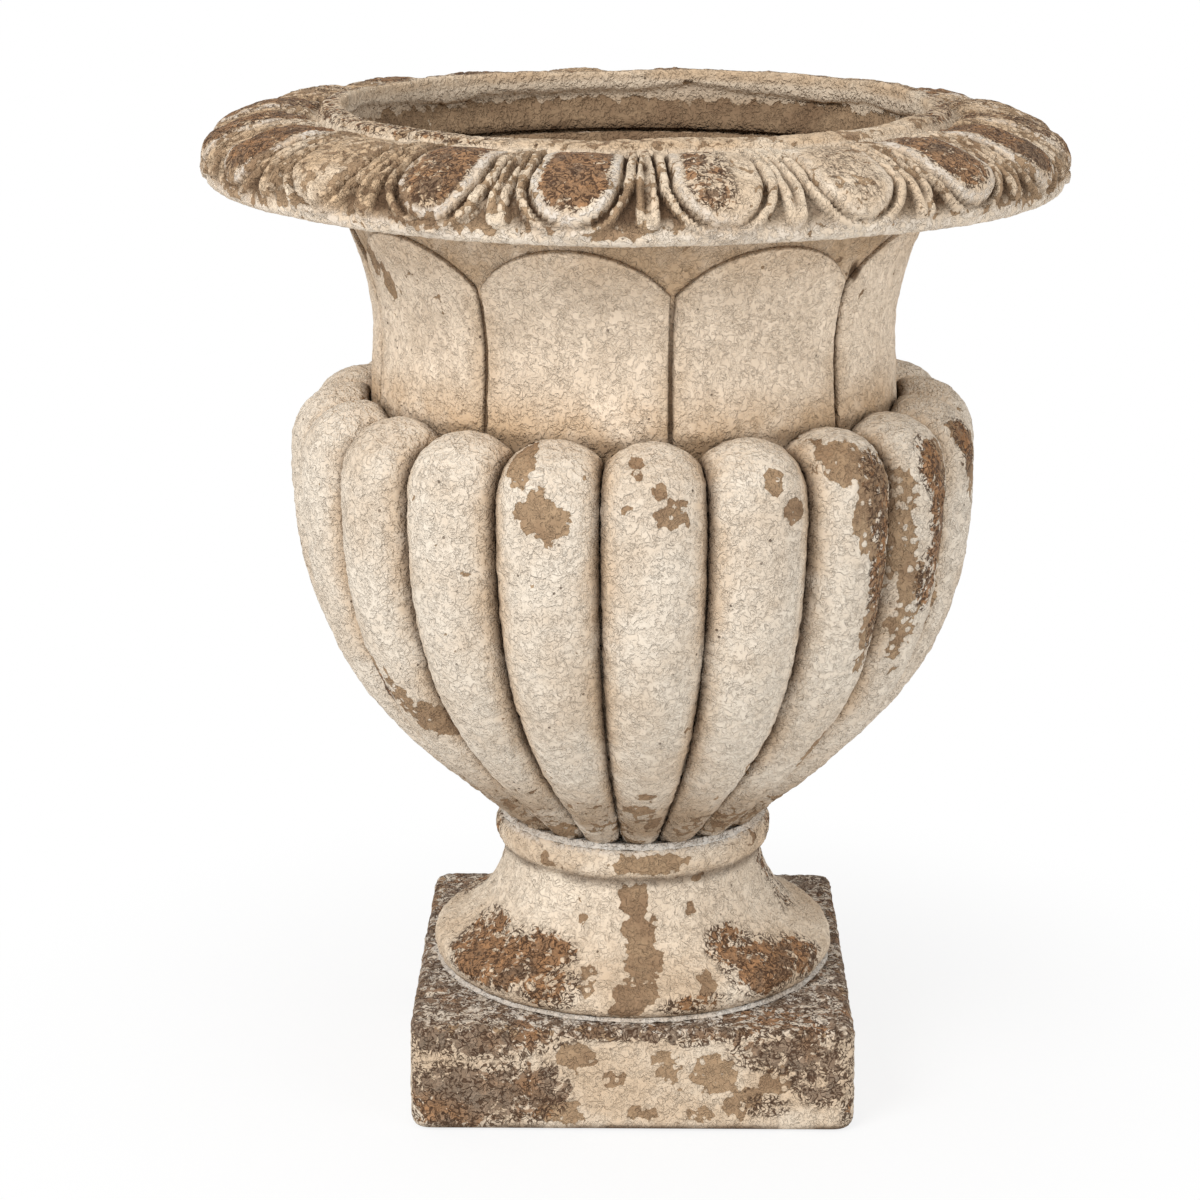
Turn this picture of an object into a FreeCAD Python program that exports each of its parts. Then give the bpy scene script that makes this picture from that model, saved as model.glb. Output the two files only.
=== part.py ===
"""Urn-shaped flower pot: a square plinth, a turned foot, a bowl dressed with gadroons,
a flared neck dressed with petals and an egg-and-dart rim, bedded on one another in mortar.

Millimetres, +Z up, origin at the middle of the plinth's underside.  The front of the pot faces -Y.
"""
import FreeCAD, Part
import math
import os
import re
import Sketcher

# Driving dimensions: name, value (millimetres, degrees or a count), what it sizes
DIMENSIONS = (
    ("plinth_ledge", 8.5, "plinth beyond the foot, on each side"),
    ("plinth_height", 46, "height of the plinth"),
    ("plinth_corner", 8, "radius of the plinth's upright corners"),
    ("plinth_edge", 3.5, "radius of the plinth's top and bottom edges"),
    ("bed_thickness", 1.5, "mortar bed between two sections"),
    ("bed_bead", 1.5, "mortar squeezed out round the foot"),
    ("joint_clearance", 1, "room between a spigot and its socket"),
    ("spigot_depth", 6, "length of each locating spigot"),
    ("drain_radius", 9, "drain hole in the floor of the bowl"),
    ("channel_radius", 12, "drain channel down through the foot and the plinth"),
    ("foot_height", 64.5, "height of the foot with its collar"),
    ("foot_spigot_radius", 46, "spigot under the foot"),
    ("foot_base_radius", 84.5, "foot where it stands on its bed"),
    ("foot_knee_inset", 4, "turn of the foot's belly into the hollow, in from the base"),
    ("foot_knee_height", 13.5, "height of that turn above the foot's base"),
    ("foot_belly_share", 0.54, "radius of the belly's curve, as a share of its chord"),
    ("foot_hollow_share", 1.01, "radius of the hollow above the belly, as a share of its chord"),
    ("waist_radius", 55.4, "foot just under the collar"),
    ("collar_height", 14.2, "height of the collar ring"),
    ("collar_share", 0.63, "radius of the collar's bulge, as a share of its height"),
    ("collar_spread", 1.9, "flat top of the collar beyond the foot under it"),
    ("bowl_height", 175.5, "bowl from its bed up to the seat of the neck"),
    ("bowl_spigot_radius", 30, "spigot under the bowl"),
    ("bowl_wall", 12, "wall of the bowl behind the gadroons"),
    ("floor_thickness", 14, "floor of the bowl"),
    ("floor_radius", 30, "flat part of the bowl's floor"),
    ("shoulder_height", 29, "seat of the neck above the widest level of the bowl"),
    ("belt_radius", 144.5, "bowl over the gadroons at its widest"),
    ("tip_inset", 0.7, "tips of the gadroons, in from the edge of the collar's top"),
    ("flank_share", 0.8975, "round part of the bowl's flank: 1 is one arc from tip to belt"),
    ("belt_relief", 14.5, "gadroon crest above the bowl's wall at the widest level"),
    ("tip_relief", 10, "gadroon crest above the bowl's wall at the bottom"),
    ("gadroon_count", 20, "gadroons round the bowl"),
    ("gadroon_phase", 3.4, "turn of the first gadroon from the front"),
    ("gadroon_share", 1.0617, "radius of a gadroon's section, as a share of half its pitch"),
    ("gadroon_rise", 18, "straight top of a gadroon above the widest level, below its dome"),
    ("gadroon_gap", 0.3, "angle of the open seam between two gadroons"),
    ("neck_height", 95.5, "height of the neck"),
    ("neck_inset", 37.8, "neck behind the petals at its narrowest, in from the bowl's belt"),
    ("neck_waist_height", 34.5, "narrowest level of the neck above its base"),
    ("neck_splay", 1.9, "how much wider the neck's base is than its waist"),
    ("neck_flare", 20.8, "how much wider the neck's top is than its waist"),
    ("neck_wall", 10, "wall of the neck"),
    ("tongue_width", 4, "ring on the neck's top that centres the rim"),
    ("petal_count", 9, "petals round the neck"),
    ("petal_phase", 27.5, "turn of the first petal from the front"),
    ("petal_thickness", 2, "petal in front of the neck's wall"),
    ("petal_gap", 0.8, "angle of the open seam between two petals"),
    ("petal_margin", 10, "head of a petal below the neck's top"),
    ("petal_rise", 20.5, "arched head of a petal above its straight sides"),
    ("rim_height", 32.5, "height of the rim with its lip"),
    ("rim_overhang", 51.1, "rim beyond the top of the neck"),
    ("nose_height", 6.5, "level of the rim's outermost edge above its underside"),
    ("nose_round", 6.5, "radius under the rim's outermost edge"),
    ("knee_inset", 12, "break of the rim's slope, in from its outermost edge"),
    ("knee_drop", 11, "break of the rim's slope, below the lip's top"),
    ("knee_share", 0.985, "radius between that break and the outermost edge, as a share of its chord"),
    ("dome_share", 1.737, "radius of the rim's upper slope, as a share of its chord"),
    ("lip_set", 2.5, "lip's inner face, out from the neck's inner wall"),
    ("lip_width", 9, "width of the lip's top"),
    ("lip_edge", 1.5, "bevel on the lip's two edges"),
    ("lip_step", 4.5, "lip's top above the rim's slope"),
    ("lip_batter", 2.5, "spread of the lip's outer face towards its base"),
    ("lip_depth", 8.5, "height of the lip's inner face"),
    ("throat_undercut", 4.5, "hollow under the lip's inner face"),
    ("throat_drop", 12, "level of that hollow below the lip's top"),
    ("egg_count", 20, "eggs round the rim, with a dart between each two"),
    ("egg_phase", 10.5, "turn of the first egg from the front"),
    ("egg_inset", 20, "top of an egg, in from the rim's outermost edge"),
    ("egg_drop", 4.5, "top of an egg below the lip's top"),
    ("egg_tilt", 21, "lean of an egg's domed face"),
    ("egg_round", 34, "radius of an egg's domed face"),
    ("egg_share", 0.5, "width of an egg, as a share of the eggs' pitch"),
    ("shell_gap", 1.5, "hollow between an egg and the shell round it"),
    ("shell_width", 4, "width of the shell's border"),
    ("shell_height", 2.6, "shells and darts above the bottom of the hollows"),
    ("shell_inset", 0.5, "round ends of shells and darts, in from the rim's outermost edge"),
    ("shell_taper", 3, "how much an egg and its shell narrow towards the lip, on each side"),
    ("end_share", 1.08, "radius of a round end, as a share of half the width there"),
    ("dart_share", 0.23, "width of a dart near its outer end, as a share of the eggs' pitch"),
    ("dart_taper", 3.5, "how much a dart narrows towards the lip, on each side"),
)

SHEET = "dims"
ALIAS = re.compile(r"\b(" + "|".join(name for name, _, _ in DIMENSIONS) + r")\b")
FULL_TURN = 360
HALF_TURN = 180
QUARTER_TURN = 90
FRONT = -90                  # degrees from +X round to the front of the pot
CUT_MARGIN = 20              # how far a cutting outline runs past the piece it cuts
TIP_MARGIN = 2               # how far the blank of a gadroon runs on below its trimmed tip
ARC_STEPS = 3                # sections of a gadroon along the curved part of its crest

# Levels and radii that follow from the driving dimensions
FOOT_BASE = "(plinth_height + bed_thickness)"
FOOT_TOP = f"({FOOT_BASE} + foot_height)"
BOWL_BASE = f"({FOOT_TOP} + bed_thickness)"
BELT_HEIGHT = "(bowl_height - shoulder_height)"
BELT_LEVEL = f"({BOWL_BASE} + {BELT_HEIGHT})"
SEAT_LEVEL = f"({BOWL_BASE} + bowl_height)"
NECK_BASE = f"({SEAT_LEVEL} + bed_thickness)"
WAIST_LEVEL = f"({NECK_BASE} + neck_waist_height)"
NECK_TOP = f"({NECK_BASE} + neck_height)"
RIM_BASE = f"({NECK_TOP} + bed_thickness)"
RIM_TOP = f"({RIM_BASE} + rim_height)"
SOCKET_DEPTH = "(spigot_depth + joint_clearance)"

COLLAR_TOP_RADIUS = "(waist_radius + collar_spread)"
TIP_RADIUS = f"({COLLAR_TOP_RADIUS} - tip_inset)"
GADROON_ROUND = f"(gadroon_share * belt_radius * sin({HALF_TURN} / gadroon_count))"
NECK_WAIST_RADIUS = "(belt_radius - neck_inset)"
NECK_BASE_RADIUS = f"({NECK_WAIST_RADIUS} + neck_splay)"
NECK_TOP_RADIUS = f"({NECK_WAIST_RADIUS} + neck_flare)"
FLARE_HEIGHT = "(neck_height - neck_waist_height)"
FLARE_ROUND = f"((neck_flare ^ 2 + {FLARE_HEIGHT} ^ 2) / (2 * neck_flare))"
MOUTH_RADIUS = f"({NECK_TOP_RADIUS} - neck_wall)"
TONGUE_RADIUS = f"({MOUTH_RADIUS} + tongue_width)"
NOSE_RADIUS = f"({NECK_TOP_RADIUS} + rim_overhang)"
LIP_INSIDE = f"({MOUTH_RADIUS} + lip_set)"
LIP_OUTSIDE = f"({LIP_INSIDE} + lip_width)"
LIP_FOOT_RADIUS = f"({LIP_OUTSIDE} + lip_batter)"
LIP_MIDDLE = f"({LIP_INSIDE} + lip_width / 2)"
NOSE_LEVEL = f"({RIM_BASE} + nose_height)"
EGG_PITCH = f"(2 * pi * ({NOSE_RADIUS} - egg_inset) / egg_count)"
EGG_HALF = f"(egg_share * {EGG_PITCH} / 2)"
DART_HALF = f"(dart_share * {EGG_PITCH} / 2)"
# The gadroons' domes leave room for the neck with its petals to drop in between them
COLLAR_OF_DOMES = f"({NECK_BASE_RADIUS} + petal_thickness + joint_clearance)"

doc = FreeCAD.newDocument("flower_pot")
sheet = doc.addObject("Spreadsheet::Sheet", SHEET)
for row, (name, size, meaning) in enumerate(DIMENSIONS, start=1):
    sheet.set(f"A{row}", name)
    sheet.set(f"B{row}", str(size))
    sheet.set(f"C{row}", meaning)
    sheet.setAlias(f"B{row}", name)
doc.recompute()


def value(formula):
    """Number that a formula of dimension names comes to."""
    return float(sheet.evalExpression(formula))


def bind(feature, target, formula):
    """Tie a property of a feature to a formula of dimension names."""
    feature.setExpression(target, ALIAS.sub(rf"{SHEET}.\1", formula))


def origin_part(body, role):
    return next(item for item in body.Origin.OriginFeatures if item.Role == role)


def new_body(label):
    body = doc.addObject("PartDesign::Body", label)
    body.Label = label
    return body


def new_sketch(body, name, role="XZ_Plane"):
    sketch = body.newObject("Sketcher::SketchObject", name)
    sketch.AttachmentSupport = [(origin_part(body, role), "")]
    sketch.MapMode = "FlatFace"
    return sketch


def place_point(sketch, geometry, end, across, up):
    """Hold one end of an edge at the two formulas, measured from the origin."""
    for kind, axis, formula in (("DistanceX", -2, across), ("DistanceY", -1, up)):
        if formula == "0":
            sketch.addConstraint(Sketcher.Constraint("PointOnObject", geometry, end, axis))
            continue
        constraint = sketch.addConstraint(
            Sketcher.Constraint(kind, -1, 1, geometry, end, value(formula)))
        bind(sketch, f"Constraints[{constraint}]", formula)


def arc_between(start, end, radius, bulge):
    """Arc of less than half a turn, its centre left of the travel for bulge 1 and right for -1."""
    chord = end - start
    reach = math.sqrt(max(radius ** 2 - (chord.Length / 2) ** 2, 0))
    left = FreeCAD.Vector(-chord.y, chord.x, 0).normalize()
    centre = (start + end) / 2 + left * reach * bulge
    first, last = (start, end) if bulge > 0 else (end, start)
    circle = Part.Circle(centre, FreeCAD.Vector(0, 0, 1), radius)
    return Part.ArcOfCircle(circle, circle.parameter(first), circle.parameter(last))


def arc_by_share(share, start, end):
    """Radius of an arc between two corners, as a share of its chord."""
    return f"({share} * sqrt(({end[0]} - {start[0]}) ^ 2 + ({end[1]} - {start[1]}) ^ 2))"


def draw_outline(sketch, corners):
    """Closed outline through corners of two formulas; a corner that also has (radius, bulge) is
    reached by an arc, and any other by a straight edge."""
    count = len(corners)
    points = [FreeCAD.Vector(value(corner[0]), value(corner[1]), 0) for corner in corners]
    ends = []
    for index, corner in enumerate(corners):
        start, finish = points[index - 1], points[index]
        if len(corner) == 2:
            edge = sketch.addGeometry(Part.LineSegment(start, finish))
            ends.append((edge, 1, 2))
            continue
        radius, bulge = corner[2]
        edge = sketch.addGeometry(arc_between(start, finish, value(radius), bulge))
        ends.append((edge, 1, 2) if bulge > 0 else (edge, 2, 1))
    for index in range(count):
        edge, _, finish = ends[index]
        following, start, _ = ends[(index + 1) % count]
        sketch.addConstraint(Sketcher.Constraint("Coincident", edge, finish, following, start))
        place_point(sketch, edge, finish, corners[index][0], corners[index][1])
    for index, corner in enumerate(corners):
        if len(corner) == 3:
            edge = ends[index][0]
            constraint = sketch.addConstraint(
                Sketcher.Constraint("Radius", edge, value(corner[2][0])))
            bind(sketch, f"Constraints[{constraint}]", corner[2][0])


def revolve(body, name, corners, kind="PartDesign::Revolution"):
    """Turn an outline of (radius, level) corners about the pot's axis."""
    sketch = new_sketch(body, name + "_outline")
    draw_outline(sketch, corners)
    turned = body.newObject(kind, name)
    turned.Profile = sketch
    turned.ReferenceAxis = (sketch, ["V_Axis"])
    turned.Angle = FULL_TURN
    return turned


def turn_to(item, angle):
    """Turn a piece about the pot's axis, by a formula in degrees from +X."""
    item.Placement = FreeCAD.Placement(
        FreeCAD.Vector(), FreeCAD.Rotation(FreeCAD.Vector(0, 0, 1), value(angle)))
    bind(item, "Placement.Rotation.Angle", angle)


def repeat_round(blank, label, count, phase):
    """Copies of a blank round the pot, numbered from the front."""
    copies = []
    for index in range(int(value(count))):
        copy = doc.addObject("Part::Compound", f"{label}_{index + 1:02d}")
        copy.Label = f"{label}_{index + 1:02d}"
        copy.Links = [blank]
        turn_to(copy, f"({FRONT} + {phase} + {index} * {FULL_TURN} / {count})")
        copies.append(copy)
    return copies


def flank(belt, tip):
    """Line and arc of a bowl surface, from its radius at the bottom to its radius at the belt: the arc
    stands upright at the belt and runs into a straight flank.  Gives the arc's radius, the flank's lean
    and the place where they meet."""
    reach = f"({belt} - {tip})"
    arc = f"(flank_share * ({BELT_HEIGHT} ^ 2 + {reach} ^ 2) / (2 * {reach}))"
    beside = f"({arc} - {reach})"
    to_tip = f"sqrt({BELT_HEIGHT} ^ 2 + {beside} ^ 2)"
    lean = f"((atan({BELT_HEIGHT} / {beside}) - acos({arc} / {to_tip})) / 1 deg)"
    turn_radius = f"({belt} - {arc} * (1 - cos({lean})))"
    turn_level = f"({BELT_LEVEL} - {arc} * sin({lean}))"
    return arc, lean, turn_radius, turn_level


def is_upright(edge):
    box = edge.BoundBox
    return box.ZLength > max(box.XLength, box.YLength)


def edges_where(feature, wanted):
    return [f"Edge{index}" for index, edge in enumerate(feature.Shape.Edges, start=1) if wanted(edge)]


def make_plinth():
    """Square block with softened edges, a socket for the foot and a drain channel."""
    body = new_body("plinth")
    sketch = new_sketch(body, "plinth_square", "XY_Plane")
    half = value("foot_base_radius + plinth_ledge")
    corners = [FreeCAD.Vector(x * half, y * half, 0) for x, y in ((-1, -1), (1, -1), (1, 1), (-1, 1))]
    for index in range(4):
        sketch.addGeometry(Part.LineSegment(corners[index], corners[(index + 1) % 4]))
    for index in range(4):
        sketch.addConstraint(Sketcher.Constraint("Coincident", index, 2, (index + 1) % 4, 1))
        sketch.addConstraint(Sketcher.Constraint("Vertical" if index % 2 else "Horizontal", index))
    sketch.addConstraint(Sketcher.Constraint("Symmetric", 0, 1, 1, 2, -1, 1))
    for kind, edge in (("DistanceX", 0), ("DistanceY", 1)):
        constraint = sketch.addConstraint(Sketcher.Constraint(kind, edge, 1, edge, 2, 2 * half))
        bind(sketch, f"Constraints[{constraint}]", "2 * (foot_base_radius + plinth_ledge)")
    block = body.newObject("PartDesign::Pad", "plinth_block")
    block.Profile = sketch
    bind(block, "Length", "plinth_height")
    doc.recompute()
    corner_round = body.newObject("PartDesign::Fillet", "plinth_corners")
    corner_round.Base = (block, edges_where(block, is_upright))
    bind(corner_round, "Radius", "plinth_corner")
    doc.recompute()
    edge_round = body.newObject("PartDesign::Fillet", "plinth_edges")
    edge_round.Base = (corner_round, edges_where(corner_round, lambda edge: not is_upright(edge)))
    bind(edge_round, "Radius", "plinth_edge")
    socket = "(foot_spigot_radius + joint_clearance)"
    shoulder = f"(plinth_height - {SOCKET_DEPTH})"
    above = f"(plinth_height + {CUT_MARGIN})"
    revolve(body, "plinth_bore", [
        ("0", "0"), ("channel_radius", "0"), ("channel_radius", shoulder), (socket, shoulder),
        (socket, above), ("0", above)], "PartDesign::Groove")
    return body


def make_foot():
    """Turned foot: spigot, rounded belly, hollow, collar ring, and a socket in its top."""
    body = new_body("foot")
    spigot_end = f"({FOOT_BASE} - spigot_depth)"
    socket = "(bowl_spigot_radius + joint_clearance)"
    socket_floor = f"({FOOT_TOP} - {SOCKET_DEPTH})"
    base = ("foot_base_radius", FOOT_BASE)
    knee = ("(foot_base_radius - foot_knee_inset)", f"({FOOT_BASE} + foot_knee_height)")
    waist = ("waist_radius", f"({FOOT_TOP} - collar_height)")
    collar = (COLLAR_TOP_RADIUS, FOOT_TOP)
    revolve(body, "foot_turning", [
        ("channel_radius", spigot_end),
        ("foot_spigot_radius", spigot_end),
        ("foot_spigot_radius", FOOT_BASE),
        base,
        (*knee, (arc_by_share("foot_belly_share", base, knee), 1)),
        (*waist, (arc_by_share("foot_hollow_share", knee, waist), -1)),
        (*collar, (arc_by_share("collar_share", waist, collar), 1)),
        (socket, FOOT_TOP),
        (socket, socket_floor),
        ("channel_radius", socket_floor)])
    return body


def bowl_wall_corners():
    """Outside of the bowl's wall, from its bottom up to the seat of the neck."""
    belt, tip = "(belt_radius - belt_relief)", f"({TIP_RADIUS} - tip_relief)"
    arc, _, turn_radius, turn_level = flank(belt, tip)
    seat = f"({COLLAR_OF_DOMES} + bed_thickness)"
    shoulder_drop, shoulder_run = f"({SEAT_LEVEL} - {BELT_LEVEL})", f"({belt} - {seat})"
    shoulder = f"(({shoulder_drop} ^ 2 + {shoulder_run} ^ 2) / (2 * {shoulder_run}))"
    return [
        (tip, BOWL_BASE), (turn_radius, turn_level), (belt, BELT_LEVEL, (arc, 1)),
        (seat, SEAT_LEVEL, (shoulder, 1))]


def make_bowl():
    """Plain bowl behind the gadroons, with a spigot, a drain hole and a seat for the neck."""
    body = new_body("bowl")
    spigot_end = f"({BOWL_BASE} - spigot_depth)"
    floor = f"({BOWL_BASE} + floor_thickness)"
    inner_belt = "(belt_radius - belt_relief - bowl_wall)"
    inner_mouth = f"({NECK_BASE_RADIUS} - neck_wall)"
    drop, run = f"({BELT_LEVEL} - {floor})", f"({inner_belt} - floor_radius)"
    hollow = f"(({drop} ^ 2 + {run} ^ 2) / (2 * {run}))"
    rise, narrowing = f"({SEAT_LEVEL} - {BELT_LEVEL})", f"({inner_belt} - {inner_mouth})"
    shoulder = f"(({rise} ^ 2 + {narrowing} ^ 2) / (2 * {narrowing}))"
    revolve(body, "bowl_turning", [
        ("drain_radius", spigot_end),
        ("bowl_spigot_radius", spigot_end),
        ("bowl_spigot_radius", BOWL_BASE),
        *bowl_wall_corners(),
        (inner_mouth, SEAT_LEVEL),
        (inner_belt, BELT_LEVEL, (shoulder, -1)),
        ("floor_radius", floor, (hollow, -1)),
        ("drain_radius", floor)])
    return body


def gadroon_stations():
    """Crest of a gadroon: (radius, level, lean) from below its tip up to the base of its dome."""
    arc, flank_lean, turn_radius, turn_level = flank("belt_radius", TIP_RADIUS)
    overrun = f"(tip_relief * tan({flank_lean}) + {TIP_MARGIN})"
    stations = [
        (f"({TIP_RADIUS} - {overrun} * tan({flank_lean}))", f"({BOWL_BASE} - {overrun})", flank_lean),
        (f"(({TIP_RADIUS} + {turn_radius}) / 2)", f"(({BOWL_BASE} + {turn_level}) / 2)", flank_lean)]
    for step in range(ARC_STEPS, -1, -1):
        lean = f"({flank_lean} * {step} / {ARC_STEPS})"
        stations.append((f"(belt_radius - {arc} * (1 - cos({lean})))",
                         f"({BELT_LEVEL} - {arc} * sin({lean}))", lean))
    stations.append(("belt_radius", f"({BELT_LEVEL} + gadroon_rise)", "0"))
    return stations


def gadroon_section(crest, level, lean):
    """Middle and radius of the round section under a crest point: the radius keeps its share of
    the distance from the pot's axis, so that neighbours meet all the way down."""
    share = f"({GADROON_ROUND} / (belt_radius - {GADROON_ROUND}))"
    radius = f"({share} * {crest} / (1 + {share} * cos({lean})))"
    return f"({crest} - {radius} * cos({lean}))", f"({level} + {radius} * sin({lean}))", radius


def make_gadroon_blank():
    """One gadroon, hollowed to lie on the bowl's wall and trimmed to its share of the circle."""
    body = new_body("gadroon_body")
    sketches = []
    for index, (crest, level, lean) in enumerate(gadroon_stations()):
        across, height, radius = gadroon_section(crest, level, lean)
        sketch = new_sketch(body, f"gadroon_section_{index}", "XY_Plane")
        tilt = f"({lean} + {HALF_TURN})"
        sketch.AttachmentOffset = FreeCAD.Placement(
            FreeCAD.Vector(), FreeCAD.Rotation(FreeCAD.Vector(0, 1, 0), value(tilt)))
        bind(sketch, "AttachmentOffset.Base.x", across)
        bind(sketch, "AttachmentOffset.Base.z", height)
        bind(sketch, "AttachmentOffset.Rotation.Angle", tilt)
        sketch.addGeometry(Part.Circle(FreeCAD.Vector(), FreeCAD.Vector(0, 0, 1), value(radius)))
        sketch.addConstraint(Sketcher.Constraint("Coincident", 0, 3, -1, 1))
        constraint = sketch.addConstraint(Sketcher.Constraint("Radius", 0, value(radius)))
        bind(sketch, f"Constraints[{constraint}]", radius)
        sketches.append(sketch)
    lobe = body.newObject("PartDesign::AdditiveLoft", "gadroon_lobe")
    lobe.Profile = sketches[0]
    lobe.Sections = sketches[1:]
    dome = body.newObject("PartDesign::AdditiveSphere", "gadroon_dome")
    dome.AttachmentSupport = [(origin_part(body, "XY_Plane"), "")]
    dome.MapMode = "FlatFace"
    dome.Angle1 = 0
    for target, formula in (
            ("AttachmentOffset.Base.x", across), ("AttachmentOffset.Base.z", height), ("Radius", radius)):
        bind(dome, target, formula)
    outside = f"(belt_radius + {CUT_MARGIN})"
    below, above = f"({BOWL_BASE} - {CUT_MARGIN} - {GADROON_ROUND})", f"({RIM_TOP} + {CUT_MARGIN})"
    back = new_body("gadroon_back")
    turning = revolve(back, "back_turning", [
        ("0", below), (outside, below), (outside, BOWL_BASE), *bowl_wall_corners(),
        (COLLAR_OF_DOMES, SEAT_LEVEL), (COLLAR_OF_DOMES, above), ("0", above)])
    turning.Angle = QUARTER_TURN
    turning.Midplane = True
    hollowed = doc.addObject("Part::Cut", "gadroon_hollowed")
    hollowed.Base = body
    hollowed.Tool = back
    wedge = doc.addObject("Part::Cylinder", "gadroon_wedge")
    bind(wedge, "Radius", outside)
    bind(wedge, "Height", above)
    bind(wedge, "Angle", f"{FULL_TURN} / gadroon_count - gadroon_gap")
    turn_to(wedge, f"-({FULL_TURN} / gadroon_count - gadroon_gap) / 2")
    blank = doc.addObject("Part::Common", "gadroon_blank")
    blank.Base = hollowed
    blank.Tool = wedge
    return blank


def flare_radius(level, offset):
    """Radius of the neck's flared upper part at a level, moved outwards by an offset."""
    height = f"({level} - {WAIST_LEVEL})"
    return f"({NECK_WAIST_RADIUS} + {offset} + {FLARE_ROUND} - sqrt({FLARE_ROUND} ^ 2 - {height} ^ 2))"


def make_neck():
    """Flared neck: straight below its waist, curved outwards above, with a tongue for the rim."""
    body = new_body("neck")
    tongue_top = f"({NECK_TOP} + spigot_depth)"
    revolve(body, "neck_turning", [
        (f"({NECK_BASE_RADIUS} - neck_wall)", NECK_BASE),
        (NECK_BASE_RADIUS, NECK_BASE),
        (NECK_WAIST_RADIUS, WAIST_LEVEL),
        (NECK_TOP_RADIUS, NECK_TOP, (FLARE_ROUND, -1)),
        (TONGUE_RADIUS, NECK_TOP),
        (TONGUE_RADIUS, tongue_top),
        (MOUTH_RADIUS, tongue_top),
        (MOUTH_RADIUS, NECK_TOP),
        (f"({NECK_WAIST_RADIUS} - neck_wall)", WAIST_LEVEL, (FLARE_ROUND, 1))])
    return body


def draw_arch_cut(sketch, half, spring, above, arch):
    """Region over a round arch and over level ledges beside it."""
    ledge = f"({half} + {CUT_MARGIN})"
    draw_outline(sketch, [
        (ledge, spring), (ledge, above), (f"-{ledge}", above), (f"-{ledge}", spring),
        (f"-{half}", spring), (half, spring, (arch, -1))])


def make_petal_blank():
    """One petal: a band of the neck's outside, cut to a round arch at its head."""
    body = new_body("petal_blank")
    head = f"({NECK_TOP} - petal_margin)"
    spring = f"({head} - petal_rise)"
    band = revolve(body, "petal_band", [
        (NECK_BASE_RADIUS, NECK_BASE),
        (f"({NECK_BASE_RADIUS} + petal_thickness)", NECK_BASE),
        (f"({NECK_WAIST_RADIUS} + petal_thickness)", WAIST_LEVEL),
        (flare_radius(head, "petal_thickness"), head, (FLARE_ROUND, -1)),
        (flare_radius(head, "0"), head),
        (NECK_WAIST_RADIUS, WAIST_LEVEL, (FLARE_ROUND, 1))])
    bind(band, "Angle", f"{FULL_TURN} / petal_count - petal_gap")
    band.Midplane = True
    half = f"({flare_radius(spring, 'petal_thickness')} * sin({HALF_TURN} / petal_count))"
    arch = f"(({half} ^ 2 + petal_rise ^ 2) / (2 * petal_rise))"
    sketch = new_sketch(body, "petal_arch", "YZ_Plane")
    draw_arch_cut(sketch, half, spring, f"({head} + {CUT_MARGIN})", arch)
    cut = body.newObject("PartDesign::Pocket", "petal_head")
    cut.Profile = sketch
    cut.Type = "ThroughAll"
    cut.Midplane = True
    return body


def rim_slope(lowering):
    """Outside of the rim from its outermost edge up to the lip, lowered by a formula."""
    nose = (NOSE_RADIUS, NOSE_LEVEL)
    knee = (f"({NOSE_RADIUS} - knee_inset)", f"({RIM_TOP} - knee_drop - {lowering})")
    lip = (LIP_FOOT_RADIUS, f"({RIM_TOP} - lip_step - {lowering})")
    return [
        (*nose, ("nose_round", 1)),
        (*knee, (arc_by_share("knee_share", nose, knee), 1)),
        (*lip, (arc_by_share("dome_share", knee, lip), 1))]


def make_rim_turning():
    """Plain rim: groove for the neck's tongue, slope sunk by the shells' height, lip and throat."""
    body = new_body("rim_turning")
    groove_radius = f"({TONGUE_RADIUS} + joint_clearance)"
    groove_top = f"({RIM_BASE} + spigot_depth)"
    revolve(body, "rim_section", [
        (groove_radius, RIM_BASE),
        (f"({NOSE_RADIUS} - nose_round)", RIM_BASE),
        *rim_slope("shell_height"),
        (LIP_OUTSIDE, f"({RIM_TOP} - lip_edge)"),
        (f"({LIP_OUTSIDE} - lip_edge)", RIM_TOP),
        (f"({LIP_INSIDE} + lip_edge)", RIM_TOP),
        (LIP_INSIDE, f"({RIM_TOP} - lip_edge)"),
        (LIP_INSIDE, f"({RIM_TOP} - lip_depth)"),
        (f"({LIP_INSIDE} + throat_undercut)", f"({RIM_TOP} - throat_drop)"),
        (MOUTH_RADIUS, groove_top),
        (groove_radius, groove_top)])
    turn_to(body, f"({FRONT} + egg_phase)")
    return body


def make_pad(label, corners):
    """Upright prism over an outline in plan, from the rim's outermost edge to above the lip."""
    body = new_body(label)
    sketch = new_sketch(body, label + "_outline", "XY_Plane")
    bind(sketch, "AttachmentOffset.Base.z", NOSE_LEVEL)
    draw_outline(sketch, corners)
    pad = body.newObject("PartDesign::Pad", label + "_prism")
    pad.Profile = sketch
    bind(pad, "Length", "rim_height")
    return body


def make_relief(label, surface, pad):
    """Part of a prism under a domed surface."""
    relief = doc.addObject("Part::Common", label)
    relief.Base = surface
    relief.Tool = pad
    return relief


def leaf_corners(half, taper, end):
    """Outline of a leaf in plan: it starts in the lip, widens outwards and ends in an arc."""
    return [
        (LIP_MIDDLE, f"-({half} - {taper})"),
        (end, f"-{half}"),
        (end, half, (f"({half} * end_share)", 1)),
        (LIP_MIDDLE, f"({half} - {taper})")]


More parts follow.
